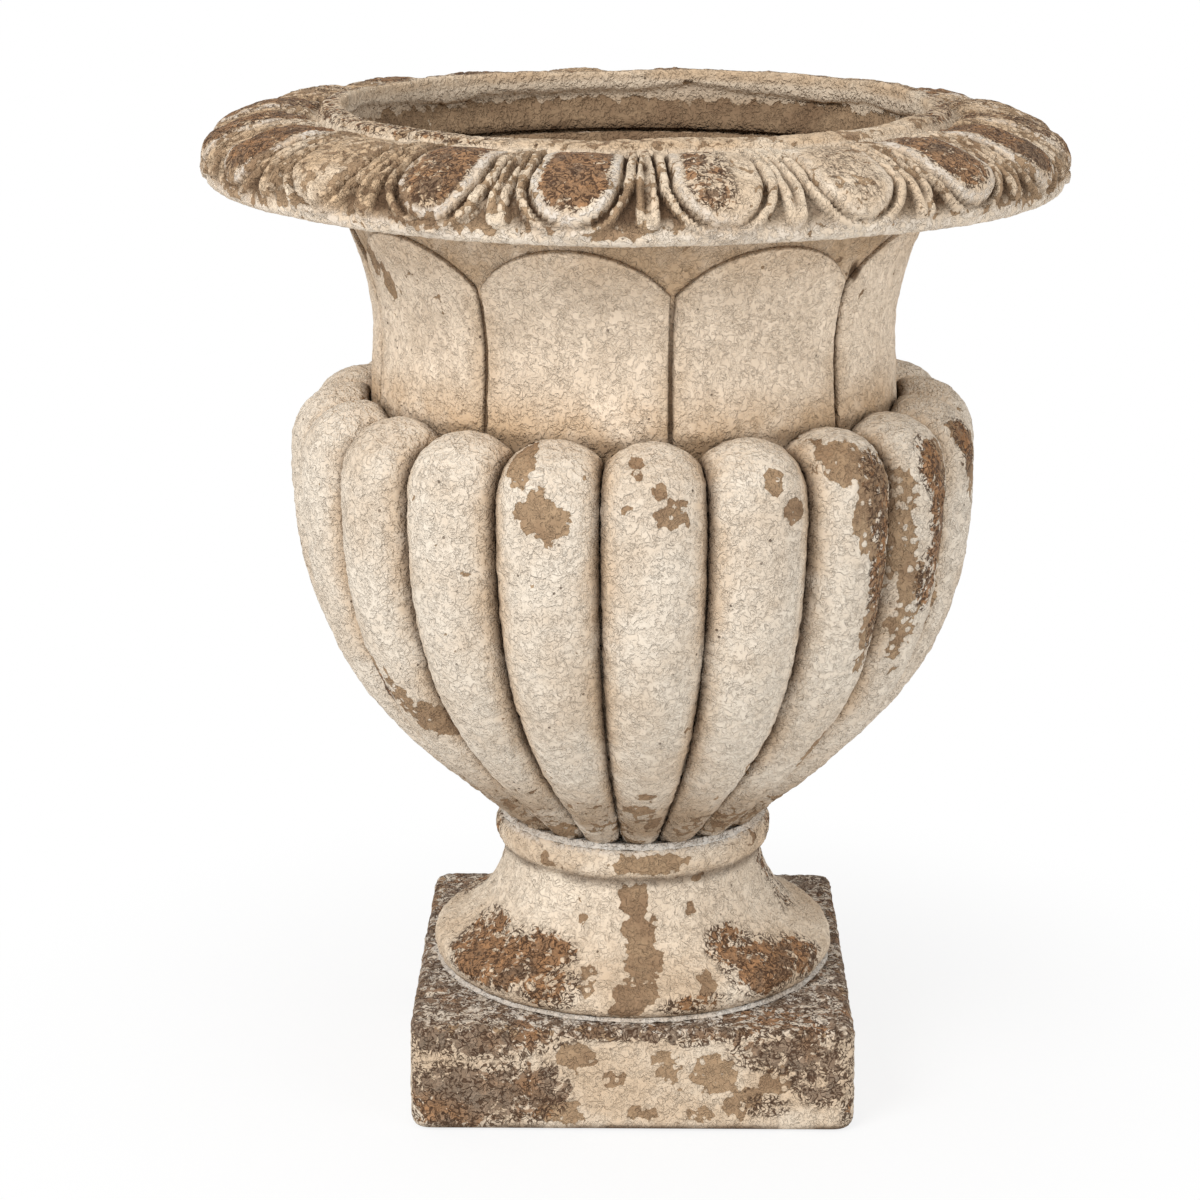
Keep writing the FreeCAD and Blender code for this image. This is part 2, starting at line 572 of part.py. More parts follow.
def make_ornament():
    """One egg, the U-shaped shell round it and the dart beside it."""
    crown = new_body("rim_crown")
    revolve(crown, "crown_section", [
        (LIP_MIDDLE, NOSE_LEVEL), (NOSE_RADIUS, NOSE_LEVEL), *rim_slope("0")[1:],
        (LIP_MIDDLE, f"({RIM_TOP} - lip_step)")])
    inside = f"({EGG_HALF} + shell_gap)"
    outside = f"({inside} + shell_width)"
    turn = f"({NOSE_RADIUS} - shell_inset - {outside})"
    outer = leaf_corners(outside, "shell_taper", turn)
    inner = leaf_corners(inside, "shell_taper", turn)
    returning = [inner[3], inner[2][:2], (*inner[1], (inner[2][2][0], -1)), inner[0]]
    shell = make_relief("shell", crown, make_pad("shell_pad", outer + returning))
    egg_dome = doc.addObject("Part::Sphere", "egg_dome")
    egg_dome.Placement.Rotation = FreeCAD.Rotation(FreeCAD.Vector(1, 0, 0), QUARTER_TURN)
    bind(egg_dome, "Radius", "egg_round")
    bind(egg_dome, "Placement.Base.x", f"({NOSE_RADIUS} - egg_inset - egg_round * sin(egg_tilt))")
    bind(egg_dome, "Placement.Base.z", f"({RIM_TOP} - egg_drop - egg_round * cos(egg_tilt))")
    egg_pad = make_pad("egg_pad", leaf_corners(EGG_HALF, "shell_taper", turn))
    egg = make_relief("egg", egg_dome, egg_pad)
    dart_end = f"({NOSE_RADIUS} - shell_inset - {DART_HALF})"
    dart_pad = make_pad("dart_pad", leaf_corners(DART_HALF, "dart_taper", dart_end))
    turn_to(dart_pad, f"{HALF_TURN} / egg_count")
    return [shell, egg, make_relief("dart", crown, dart_pad)]


def make_rim():
    """Overhanging rim with a raised lip and, on its slope, eggs in their shells and darts between."""
    rim = doc.addObject("Part::MultiFuse", "rim")
    rim.Label = "rim"
    pieces = [make_rim_turning()]
    for ornament in make_ornament():
        pieces += repeat_round(ornament, ornament.Label, "egg_count", "egg_phase")
    rim.Shapes = pieces
    return rim


def make_bed(label, inner, outer, level):
    """Flat ring of mortar between two sections."""
    body = new_body(label)
    top = f"({level} + bed_thickness)"
    revolve(body, label + "_ring", [(inner, level), (outer, level), (outer, top), (inner, top)])
    return body


def build_pot():
    pieces = [make_plinth(), make_foot(), make_bowl(), make_neck(), make_rim()]
    pieces.append(make_bed("plinth_bed", "(foot_spigot_radius + joint_clearance)",
                           "(foot_base_radius + bed_bead)", "plinth_height"))
    pieces.append(make_bed("foot_bed", "(bowl_spigot_radius + joint_clearance)",
                           COLLAR_TOP_RADIUS, FOOT_TOP))
    pieces.append(make_bed("neck_bed", f"({NECK_BASE_RADIUS} - neck_wall)",
                           f"({NECK_BASE_RADIUS} + petal_thickness)", SEAT_LEVEL))
    pieces.append(make_bed("rim_bed", f"({TONGUE_RADIUS} + joint_clearance)",
                           NECK_TOP_RADIUS, NECK_TOP))
    pieces += repeat_round(make_gadroon_blank(), "gadroon", "gadroon_count", "gadroon_phase")
    pieces += repeat_round(make_petal_blank(), "petal", "petal_count", "petal_phase")
    return pieces


def check(pieces):
    """Stop at the first failed feature or unsound solid."""
    for item in doc.Objects:
        if "Invalid" in item.State or "Error" in item.State:
            raise RuntimeError(f"{item.Label} failed: {item.State}")
    for piece in pieces:
        if piece.Shape.isNull() or not piece.Shape.isValid() or not piece.Shape.Solids:
            raise RuntimeError(f"{piece.Label} is not a sound solid")


pot = build_pot()
doc.recompute()
check(pot)
os.makedirs("parts", exist_ok=True)
for piece in pot:
    piece.Shape.exportStep(f"parts/{piece.Label}.step")
    print(f"{piece.Label}: {len(piece.Shape.Solids)} solid, {piece.Shape.Volume / 1000:.1f} cm3")
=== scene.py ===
"""Urn-shaped flower pot: hand-cast sections under a flaking cream wash, and the stage they stand on.

Metres, +Z up, origin under the middle of the plinth.  The front of the pot faces -Y.
"""
import math

import bmesh
import bpy
import numpy as np
from bpy.props import FloatProperty, FloatVectorProperty, IntProperty, PointerProperty
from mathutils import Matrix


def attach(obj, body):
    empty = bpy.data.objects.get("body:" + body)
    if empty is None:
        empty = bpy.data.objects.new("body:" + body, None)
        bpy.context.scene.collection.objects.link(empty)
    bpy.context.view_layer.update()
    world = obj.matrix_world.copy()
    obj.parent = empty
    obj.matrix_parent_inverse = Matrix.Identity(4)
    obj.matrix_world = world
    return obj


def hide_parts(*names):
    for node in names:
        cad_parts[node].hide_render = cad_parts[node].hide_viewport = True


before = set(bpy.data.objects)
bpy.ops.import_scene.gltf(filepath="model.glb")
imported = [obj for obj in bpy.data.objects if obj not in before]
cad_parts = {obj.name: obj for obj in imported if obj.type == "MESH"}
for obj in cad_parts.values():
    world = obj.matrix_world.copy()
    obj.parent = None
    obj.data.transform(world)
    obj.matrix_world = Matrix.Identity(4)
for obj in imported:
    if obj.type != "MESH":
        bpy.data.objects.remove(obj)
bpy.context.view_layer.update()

bl_info = {
    "name": "Urn Flower Pot",
    "version": (1, 0, 0),
    "blender": (4, 5, 0),
    "location": "3D View > Sidebar > Pot",
    "description": "Dresses the sections of an urn-shaped flower pot and sets its stage",
    "category": "Object",
}

MM = 0.001
SEED = 4.0                       # fixed seed of every random pattern

# Worn places: turn from the front (degrees), height, half width, half height (mm), strength
FLAKES_ON_LOBES = (
    (-18.5, 293, 7, 9, 1.0), (-15.0, 284, 5, 6, 0.9), (-13.5, 275, 10, 9, 1.0), (-17.5, 279, 5, 4, 0.8),
    (0.5, 295, 4, 4, 0.9), (3.8, 288, 4, 4, 0.9), (5.9, 278, 8, 7, 1.0), (-1.0, 280, 3, 3, 0.8),
    (22.5, 289, 5, 5, 1.0), (25.7, 277, 6, 6, 1.0),
    (37.0, 292, 12, 9, 0.9), (42.0, 283, 15, 14, 0.95), (44.0, 262, 13, 18, 0.95), (44.0, 240, 12, 16, 0.9),
    (42.5, 223, 9, 10, 0.85), (50.5, 262, 8, 26, 0.9), (53.5, 225, 9, 30, 0.8), (58.5, 281, 10, 15, 0.95),
    (62.0, 252, 10, 28, 0.9), (40.0, 272, 10, 21, 0.9), (43.0, 210, 8, 8, 0.8),
    (72.0, 288, 7, 8, 1.0), (75.0, 276, 8, 16, 1.0), (66.0, 215, 8, 20, 0.85),
    (-56.0, 199, 9, 10, 1.0), (-49.5, 187, 8, 9, 1.0), (-45.5, 178, 9, 9, 1.0), (-58.0, 180, 9, 12, 0.9),
    (3.5, 148, 6, 4, 0.85), (1.5, 139, 8, 5, 0.7), (8.0, 128, 8, 6, 0.6), (-12.0, 130, 6, 6, 0.6),
    (29.0, 158, 6, 8, 0.7), (44.0, 166, 8, 12, 0.85),
)
CRACKLE_ON_LOBES = (
    (41.5, 286, 9, 10, 0.7), (43.0, 270, 10, 16, 0.8), (43.5, 244, 9, 18, 0.9),
    (45.0, 222, 8, 10, 0.75), (56.5, 284, 9, 12, 1.0),
    (58.5, 264, 9, 20, 1.0), (56.5, 238, 8, 16, 0.8), (73.0, 284, 7, 12, 0.9), (-55.5, 190, 8, 12, 0.8),
)
FLAKES_ON_NECK = ((-65.0, 361, 6, 8, 1.0), (-60.5, 353, 5, 10, 1.0), (-61.5, 341, 3, 6, 0.9))
# A small hole at a petal's corner, painted dark as painted shade; same columns as above
HOLE_SHADE_ON_NECK = ((49.2, 361, 2.6, 4.6, 1.0),)
FLAKES_ON_FOOT = (
    (0.5, 90, 7, 8, 1.0), (2.7, 78, 8, 8, 1.0), (2.8, 68, 9, 7, 1.0), (1.5, 58, 10, 6, 1.0),
    (-2.0, 52, 8, 4, 0.9),
    (6.0, 106, 19, 5, 1.1), (-38.0, 104, 5, 4, 0.8), (58.0, 108, 6, 4, 0.8), (30.0, 98, 4, 3, 0.7),
    (22.0, 60, 5, 4, 0.8), (-14.0, 62, 6, 5, 0.8), (-20.0, 80, 3, 3, 0.7), (25.0, 84, 3, 4, 0.7),
)
CRACKLE_ON_FOOT = (
    (-49.0, 60, 28, 9, 1.05), (-36.0, 66, 21, 9, 1.0), (-62.0, 66, 14, 10, 0.95), (-25.0, 57, 16, 8, 0.85),
    (44.0, 60, 21, 10, 1.05), (37.0, 69, 13, 8, 0.95), (60.0, 58, 16, 8, 0.9), (18.0, 53, 18, 5, 0.7),
)
# Worn places on the plinth's front: across and height (mm), half width, half height (mm), strength
CRACKLE_ON_PLINTH = (
    (-72, 16, 28, 16, 1.1), (-45, 18, 20, 15, 1.0), (-62, 40, 34, 7, 1.0), (66, 36, 26, 10, 1.0),
    (80, 24, 14, 13, 0.9), (20, 42, 16, 4, 0.7), (56, 12, 12, 6, 0.6),
)
FLAKES_ON_PLINTH = (
    (-24, 34, 9, 7, 1.0), (-8, 24, 6, 5, 0.8), (14, 30, 8, 8, 0.9), (34, 26, 10, 10, 1.0),
    (46, 14, 9, 8, 0.9),
    (-30, 8, 12, 6, 0.8), (4, 8, 8, 5, 0.8), (28, 8, 7, 5, 0.8), (60, 24, 10, 8, 0.9),
)
# How dark each egg of the rim is, by its turn from the front (degrees)
DARK_EGGS = {
    -97.5: 0.85, -79.5: 0.9, -61.5: 0.95, -43.5: 0.12, -25.5: 0.92, -7.5: 1.0, 10.5: 0.72, 28.5: 0.3,
    46.5: 0.9, 64.5: 1.0, 82.5: 0.7, 100.5: 0.5, 118.5: 0.9, 136.5: 0.2, 154.5: 0.8, 172.5: 0.6,
    -115.5: 0.4, -133.5: 0.8, -151.5: 0.9, -169.5: 0.3,
}


def length_setting(name, description, millimetres):
    return FloatProperty(name=name, description=description, default=millimetres * MM, unit="LENGTH")


def angle_setting(name, description, degrees):
    return FloatProperty(name=name, description=description, default=math.radians(degrees), subtype="ANGLE")


def colour_setting(name, description, value):
    return FloatVectorProperty(
        name=name, description=description, subtype="COLOR", default=value, min=0, max=1)


class PotSizes(bpy.types.PropertyGroup):
    """Shape of the ornament."""
    lobe_count: IntProperty(name="Lobes", description="Lobes round the bowl", default=20, min=3)
    lobe_turn: angle_setting("Lobe Turn", "Turn of the first lobe from the front", 3.4)
    petal_count: IntProperty(name="Petals", description="Petals round the neck", default=9, min=3)
    petal_turn: angle_setting("Petal Turn", "Turn of the first petal from the front", 27.5)
    petal_thickness: length_setting("Petal Thickness", "Petal in front of the neck's wall", 2.0)
    petal_edge: length_setting("Petal Edge", "Rounding of a petal's front edge", 1.7)
    egg_count: IntProperty(name="Eggs", description="Eggs round the rim", default=20, min=3)
    egg_turn: angle_setting("Egg Turn", "Turn of the first egg from the front", 10.5)
    egg_width: length_setting("Egg Width", "Width of an egg", 32)
    egg_height: length_setting("Egg Height", "Egg above the hollow round it", 4.9)
    egg_end: length_setting("Egg End", "Start of an egg's round end, from the lip", 35)
    egg_taper: length_setting("Egg Taper", "Narrowing of an egg towards the lip, each side", 3)
    hollow_width: length_setting("Hollow Width", "Hollow between an egg and its shell", 1.7)
    shell_width: length_setting("Shell Width", "Width of the shell round an egg", 3.6)
    shell_height: length_setting("Shell Height", "Shells and darts above the hollows", 2.9)
    dart_width: length_setting("Dart Width", "Width of a dart near its end", 9)
    dart_end: length_setting("Dart End", "Start of a dart's round end, from the lip", 50)


class PotSurface(bpy.types.PropertyGroup):
    """Unevenness of the hand-cast, worn surface."""
    lump_size: length_setting("Lump Size", "Spacing of soft lumps", 15)
    lump_height: length_setting("Lump Height", "Height of soft lumps", 0.7)
    grain_size: length_setting("Grain Size", "Spacing of the wash's coarse grain", 3.6)
    grain_height: length_setting("Grain Height", "Height of the wash's coarse grain", 1.0)
    flake_size: length_setting("Flake Size", "Spacing of the flakes", 11)
    flake_depth: length_setting("Flake Depth", "Thickness of the wash that flaked off", 0.45)


class PotColours(bpy.types.PropertyGroup):
    """Colours of the wash, of the body under it and of the stains; some also serve as painted shade and
    painted light.
    """
    wash: colour_setting("Wash", "Cream wash", (0.80, 0.705, 0.585))
    # Wash shade and body also darken the low places of the grain and the furrows as painted shade
    wash_shade: colour_setting("Wash Shade", "Thinner places of the wash", (0.65, 0.515, 0.38))
    tan: colour_setting("Tan", "Warm stain beside the joints", (0.60, 0.40, 0.225))
    body: colour_setting("Body", "Bare body under the wash", (0.44, 0.30, 0.18))
    body_shade: colour_setting("Body Shade", "Darker places of the body", (0.30, 0.19, 0.11))
    crackle: colour_setting("Crackle", "Brown crackled stain", (0.21, 0.12, 0.064))
    rust: colour_setting("Rust", "Orange-brown places of the stain", (0.38, 0.185, 0.075))
    stone: colour_setting("Stone", "Grey-brown places of the stain", (0.27, 0.215, 0.165))
    crack: colour_setting("Crack", "Cracks in the stain and grime", (0.08, 0.04, 0.02))
    # Grime also serves as painted shade in the seams, cuts and gaps and inside the mouth
    grime_and_shade: colour_setting("Grime", "Dirt in the seams", (0.115, 0.067, 0.036))
    # Lime also serves as painted light on the nose band of the rim
    lime_and_light: colour_setting("Lime", "Greyish bloom of lime", (0.74, 0.70, 0.65))
    mortar: colour_setting("Mortar", "Pale mortar", (0.80, 0.76, 0.70))


class PotStage(bpy.types.PropertyGroup):
    """Camera and light."""
    camera_place: FloatVectorProperty(
        name="Camera", description="Place of the camera", subtype="TRANSLATION", unit="LENGTH",
        default=(0.0, -1.2767, 0.5632))
    camera_pitch: angle_setting("Pitch", "Downward tilt of the camera", 15.65)
    camera_yaw: FloatProperty(
        name="Yaw", description="Turn of the camera to its left", default=0.0113, subtype="ANGLE")
    lens: FloatProperty(name="Lens", description="Focal length in millimetres", default=92.42)
    key_power: FloatProperty(name="Key", description="Soft lamp on the left", default=26.5, unit="POWER")
    fill_power: FloatProperty(name="Fill", description="Soft lamp on the right", default=8.5, unit="POWER")
    ambient: FloatProperty(name="Ambient", description="Light from all round", default=0.6)


class Field:
    """A value inside a node tree that can be added, scaled and compared like a number."""

    def __init__(self, socket):
        self.socket = socket
        self.tree = socket.id_data

    def __add__(self, other):
        return calc("ADD", self, other)

    def __sub__(self, other):
        return calc("SUBTRACT", self, other)

    def __rsub__(self, other):
        return calc("SUBTRACT", other, self)

    def __mul__(self, other):
        return calc("MULTIPLY", self, other)

    def __truediv__(self, other):
        return calc("DIVIDE", self, other)

    __radd__ = __add__
    __rmul__ = __mul__


def feed(socket, item):
    """Link a field to a socket, or set the socket to a plain value."""
    if isinstance(item, Field):
        socket.id_data.links.new(item.socket, socket)
    else:
        socket.default_value = item


def calc(operation, *items):
    tree = next(item.tree for item in items if isinstance(item, Field))
    node = tree.nodes.new("ShaderNodeMath")
    node.operation = operation
    for socket, item in zip(node.inputs, items):
        feed(socket, item)
    return Field(node.outputs[0])


def ramp(item, start, end):
    """0 on the start side, 1 on the end side, with an easy passage between."""
    node = item.tree.nodes.new("ShaderNodeMapRange")
    node.interpolation_type = "SMOOTHSTEP"
    for socket, part in zip(node.inputs, (item, start, end)):
        feed(socket, part)
    return Field(node.outputs[0])


def round_hump(item):
    """Height of a half circle, where the item runs from -1 to 1 across it."""
    return calc("SQRT", calc("MAXIMUM", 1.0 - item * item, 0.0))


def noise(place, size, seed, detail=3.0, roughness=0.55, distortion=0.0):
    node = place.tree.nodes.new("ShaderNodeTexNoise")
    node.noise_dimensions = "4D"
    feed(node.inputs["Vector"], place)
    feed(node.inputs["W"], seed)
    feed(node.inputs["Scale"], calc("DIVIDE", 1.0, size) if isinstance(size, Field) else 1.0 / size)
    feed(node.inputs["Detail"], detail)
    feed(node.inputs["Roughness"], roughness)
    feed(node.inputs["Distortion"], distortion)
    return Field(node.outputs[0])


def cells(place, size):
    node = place.tree.nodes.new("ShaderNodeTexVoronoi")
    feed(node.inputs["Vector"], place)
    feed(node.inputs["Scale"], calc("DIVIDE", 1.0, size) if isinstance(size, Field) else 1.0 / size)
    return Field(node.outputs["Distance"])


def new_tree(name, kind, inputs, outputs):
    """Node tree with named sockets; gives the tree, its inputs as fields and its output node."""
    tree = bpy.data.node_groups.new(name, kind)
    for label, socket_type, default in inputs:
        socket = tree.interface.new_socket(label, in_out="INPUT", socket_type="NodeSocket" + socket_type)
        if default is not None:
            socket.default_value = default
    for label, socket_type in outputs:
        tree.interface.new_socket(label, in_out="OUTPUT", socket_type="NodeSocket" + socket_type)
    entry = tree.nodes.new("NodeGroupInput")
    given = {socket.name: Field(socket) for socket in entry.outputs if socket.name}
    return tree, given, tree.nodes.new("NodeGroupOutput")


def flake_mask(place, flaked, size, seed):
    """Where the wash has flaked off: ragged chips that spread as the wear grows."""
    pattern = noise(place, size, seed, detail=6.0, roughness=0.6, distortion=0.5)
    chips = calc("MAXIMUM", cells(place, size * 0.34), 0.2)
    return pattern + chips * 0.34 - 0.14, 0.80 - 0.40 * flaked


def read_attribute(tree, name):
    """Value painted on a mesh, inside a geometry tree."""
    node = tree.nodes.new("GeometryNodeInputNamedAttribute")
    node.data_type = "FLOAT"
    node.inputs["Name"].default_value = name
    return Field(node.outputs["Attribute"])


def keep_attribute(geometry, name, item):
    node = geometry.tree.nodes.new("GeometryNodeStoreNamedAttribute")
    node.data_type = "FLOAT"
    node.domain = "POINT"
    feed(node.inputs["Geometry"], geometry)
    node.inputs["Name"].default_value = name
    feed(node.inputs["Value"], item)
    return Field(node.outputs["Geometry"])


def push_out(geometry, height):
    """Move the surface along its normal by a height."""
    tree = geometry.tree
    normal = tree.nodes.new("GeometryNodeInputNormal")
    scale = tree.nodes.new("ShaderNodeVectorMath")
    scale.operation = "SCALE"
    tree.links.new(normal.outputs[0], scale.inputs[0])
    feed(scale.inputs["Scale"], height)
    move = tree.nodes.new("GeometryNodeSetPosition")
    feed(move.inputs["Geometry"], geometry)
    tree.links.new(scale.outputs["Vector"], move.inputs["Offset"])
    return Field(move.outputs["Geometry"])


def close_tree(geometry, material, leave):
    """Realize, smooth, give the material and end the tree."""
    tree = geometry.tree
    for kind in ("GeometryNodeRealizeInstances", "GeometryNodeSetShadeSmooth", "GeometryNodeSetMaterial"):
        node = tree.nodes.new(kind)
        feed(node.inputs["Geometry"], geometry)
        geometry = Field(node.outputs["Geometry"])
    feed(node.inputs["Material"], material)
    feed(leave.inputs[0], geometry)


def place_in(tree):
    return Field(tree.nodes.new("GeometryNodeInputPosition").outputs[0])


def make_repeat_tree():
    """Sets one of several like pieces at its place round the pot."""
    tree, given, leave = new_tree("set_round_the_pot", "GeometryNodeTree", (
        ("Geometry", "Geometry", None), ("Count", "Int", 20), ("First Turn", "Float", 0.0),
        ("Number", "Int", 0), ("Material", "Material", None)), (("Geometry", "Geometry"),))
    turn = given["First Turn"] + given["Number"] * calc("DIVIDE", 2 * math.pi, given["Count"])
    angles = tree.nodes.new("ShaderNodeCombineXYZ")
    feed(angles.inputs["Z"], turn)
    move = tree.nodes.new("GeometryNodeTransform")
    feed(move.inputs["Geometry"], given["Geometry"])
    tree.links.new(angles.outputs[0], move.inputs["Rotation"])
    close_tree(Field(move.outputs["Geometry"]), given["Material"], leave)


# Old wear of the sides and the back: spacing (m) and the noise between which it sets in
OLD_FLAKE_SPACING, OLD_FLAKE_START = 0.075, (0.56, 0.72)
OLD_CRACKLE_SPACING, OLD_CRACKLE_START = 0.06, (0.47, 0.66)
ABOVE_FLOOR = (0.0006, 0.003)    # levels between which the unevenness sets in (m)


def make_weathering_tree():
    """Lumps, grain and flaked places on a piece, with old wear on the sides away from the front."""
    tree, given, leave = new_tree("weathering", "GeometryNodeTree", (
        ("Geometry", "Geometry", None), ("Lump Size", "Float", 0.015), ("Lump Height", "Float", 0.0007),
        ("Grain Size", "Float", 0.0036), ("Grain Height", "Float", 0.001), ("Flake Size", "Float", 0.011),
        ("Flake Depth", "Float", 0.0004), ("Old Flakes", "Float", 1.0), ("Old Crackle", "Float", 0.0),
        ("Seed", "Float", SEED), ("Material", "Material", None)), (("Geometry", "Geometry"),))
    place = place_in(tree)
    away = read_attribute(tree, "away")
    seed = given["Seed"]
    old_flakes = ramp(noise(place, OLD_FLAKE_SPACING, seed + 11.0, detail=3.0), *OLD_FLAKE_START)
    old_crackle = ramp(noise(place, OLD_CRACKLE_SPACING, seed + 23.0, detail=3.0), *OLD_CRACKLE_START)
    flaked = calc("MAXIMUM", read_attribute(tree, "flaked"), old_flakes * given["Old Flakes"] * away)
    crackled = calc("MAXIMUM", read_attribute(tree, "crackled"), old_crackle * given["Old Crackle"] * away)
    geometry = keep_attribute(given["Geometry"], "flaked", flaked)
    geometry = keep_attribute(geometry, "crackled", crackled)
    flaked = read_attribute(tree, "flaked")
    pattern, edge = flake_mask(place, flaked, given["Flake Size"], seed)
    lost = ramp(pattern, edge - 0.03, edge + 0.03) * given["Flake Depth"]
    lumps = (noise(place, given["Lump Size"], seed + 3.0, detail=2.0) - 0.5) * given["Lump Height"] * 2.0
    grain = (noise(place, given["Grain Size"], seed + 7.0, detail=2.0) - 0.5) * given["Grain Height"] * 2.0
    axes = tree.nodes.new("ShaderNodeSeparateXYZ")
    feed(axes.inputs[0], place)
    above_floor = ramp(Field(axes.outputs[2]), *ABOVE_FLOOR)
    close_tree(push_out(geometry, (lumps + grain - lost) * above_floor), given["Material"], leave)


# Stretches of the rim's slope over which something sets in or ends: way from the lip (m)
ON_SLOPE = (0.0005, 0.004)
TOWARDS_NOSE = (0.040, 0.056)
ORNAMENT_END = (0.062, 0.055)
CUTS_END = (0.057, 0.047)
EGG_STAIN_END = (0.056, 0.044)
# Stretches over which the painted light on the nose band sets in and ends
PAINTED_LIGHT_START, PAINTED_LIGHT_END = (0.050, 0.056), (0.068, 0.060)
SPLIT_START, SPLIT_END = (0.010, 0.020), (0.052, 0.042)
EGG_SWELL = (0.0, 0.022)
# Stretches across an egg's edge: way out from it (m)
EGG_WALL = (0.0006, -0.0006)
BORDER_OUTSIDE, BORDER_INSIDE = (0.0, -0.0008), (-0.0042, -0.0024)
EGG_STAIN = (-0.0016, -0.0056)
ROUND_THE_EGG = (0.0, 0.002)
SPLIT_SIDE = (0.0016, 0.0004)    # way from a dart's middle line to the sides of its split (m)
LOW_RELIEF = (0.0017, 0.0003)    # relief that counts as a hollow (m)
HOLLOW_DEPTH, NOSE_DEPTH = 0.0009, 0.0011
WOBBLE = 0.0042                  # how far the carving strays (m)


def make_egg_and_dart_tree():
    """Eggs in their shells, with darts between, raised on the slope of the rim."""
    tree, given, leave = new_tree("egg_and_dart", "GeometryNodeTree", (
        ("Geometry", "Geometry", None), ("Count", "Int", 20), ("First Turn", "Float", 0.0),
        ("Egg Width", "Float", 0.032), ("Egg Height", "Float", 0.0049), ("Egg End", "Float", 0.035),
        ("Egg Taper", "Float", 0.003), ("Hollow Width", "Float", 0.0017), ("Shell Width", "Float", 0.0036),
        ("Shell Height", "Float", 0.0029), ("Dart Width", "Float", 0.009), ("Dart End", "Float", 0.05),
        ("Wobble", "Float", WOBBLE), ("Seed", "Float", SEED), ("Material", "Material", None)),
        (("Geometry", "Geometry"),))
    place = place_in(tree)
    axes = tree.nodes.new("ShaderNodeSeparateXYZ")
    feed(axes.inputs[0], place)
    x, y = Field(axes.outputs[0]), Field(axes.outputs[1])
    radius = calc("SQRT", x * x + y * y)
    slope = read_attribute(tree, "slope")
    pitch = calc("DIVIDE", 2 * math.pi, given["Count"])
    cell = (calc("ARCTAN2", x, y * -1.0) - given["First Turn"]) / pitch
    offset = cell - calc("ROUND", cell)
    seed, wobble = given["Seed"], given["Wobble"]
    across = offset * pitch * radius + (noise(place, 0.024, seed + 1.0, detail=1.0) - 0.5) * wobble
    along = slope + (noise(place, 0.027, seed + 2.0, detail=1.0) - 0.5) * wobble
    out = calc("MAXIMUM", along - given["Egg End"], 0.0) * 0.92
    inward = calc("MAXIMUM", given["Egg End"] - along, 0.0) / given["Egg End"]
    half = given["Egg Width"] * 0.5
    edge = calc("SQRT", across * across + out * out) - (half - given["Egg Taper"] * inward)
    depth_in = calc("MINIMUM", calc("MAXIMUM", edge * -1.0 / half, 0.0), 1.0)
    swell = 0.35 + 0.65 * ramp(along, *EGG_SWELL)
    body = 0.55 + 0.45 * round_hump(1.0 - depth_in)
    egg = body * ramp(edge, *EGG_WALL) * given["Egg Height"] * swell
    border = ramp(edge, *BORDER_OUTSIDE) * ramp(edge, *BORDER_INSIDE)
    ridge_half = given["Shell Width"] * 0.5
    ridge_at = (edge - given["Hollow Width"] - ridge_half) / ridge_half
    shell = calc("MINIMUM", round_hump(ridge_at) * 1.5, 1.0) * given["Shell Height"]
    beside = (0.5 - calc("ABSOLUTE", offset)) * pitch * radius
    beside = beside + (noise(place, 0.02, seed + 5.0, detail=1.0) - 0.5) * wobble * 0.5
    past = calc("MAXIMUM", along - given["Dart End"], 0.0)
    short = calc("MAXIMUM", given["Dart End"] - along, 0.0) / given["Dart End"]
    dart_half = given["Dart Width"] * 0.5 * (1.0 - 0.55 * short)
    dart_at = calc("SQRT", beside * beside + past * past) / dart_half
    split = ramp(beside, *SPLIT_SIDE) * ramp(along, *SPLIT_START) * ramp(along, *SPLIT_END)
    dart = calc("MINIMUM", round_hump(calc("MINIMUM", dart_at, 1.0)) * 1.5, 1.0) * (1.0 - 0.6 * split)
    dart = dart * given["Shell Height"]
    on_slope = ramp(slope, *ON_SLOPE)
    towards_nose = ramp(slope, *TOWARDS_NOSE)
    relief = calc("MAXIMUM", calc("MAXIMUM", egg, shell), dart) * on_slope * (1.0 - 0.55 * towards_nose)
    ornament = on_slope * ramp(slope, *ORNAMENT_END)
    hollow = calc("MAXIMUM", ramp(relief, *LOW_RELIEF), split * 0.7) * ornament
    cuts = hollow * ramp(slope, *CUTS_END)
    dark = read_attribute(tree, "dark_egg")
    in_egg = ramp(edge, *EGG_STAIN) * ramp(along, *EGG_STAIN_END)
    geometry = keep_attribute(given["Geometry"], "crackled", calc(
        "MAXIMUM", read_attribute(tree, "crackled"), ornament * dark * in_egg * 1.15))
    geometry = keep_attribute(geometry, "flaked", calc(
        "MAXIMUM", read_attribute(tree, "flaked"), ornament * dark * ramp(edge, *ROUND_THE_EGG) * 0.66))
    # Grime and painted shade in the hollows and cuts round the eggs and darts, stronger beside dark eggs
    geometry = keep_attribute(geometry, "grimed", calc(
        "MAXIMUM", read_attribute(tree, "grimed"), cuts * (0.7 + 0.5 * dark)))
    # Painted light: the nose band below the ornament is painted pale with the lime colour
    painted_light_on_nose = ramp(slope, *PAINTED_LIGHT_START) * ramp(slope, *PAINTED_LIGHT_END) * 0.45
    geometry = keep_attribute(geometry, "limed", calc(
        "MAXIMUM", ornament * border * dark * 0.75, painted_light_on_nose))
    cut = hollow * HOLLOW_DEPTH + towards_nose * ornament * NOSE_DEPTH
    close_tree(push_out(geometry, relief - cut), given["Material"], leave)


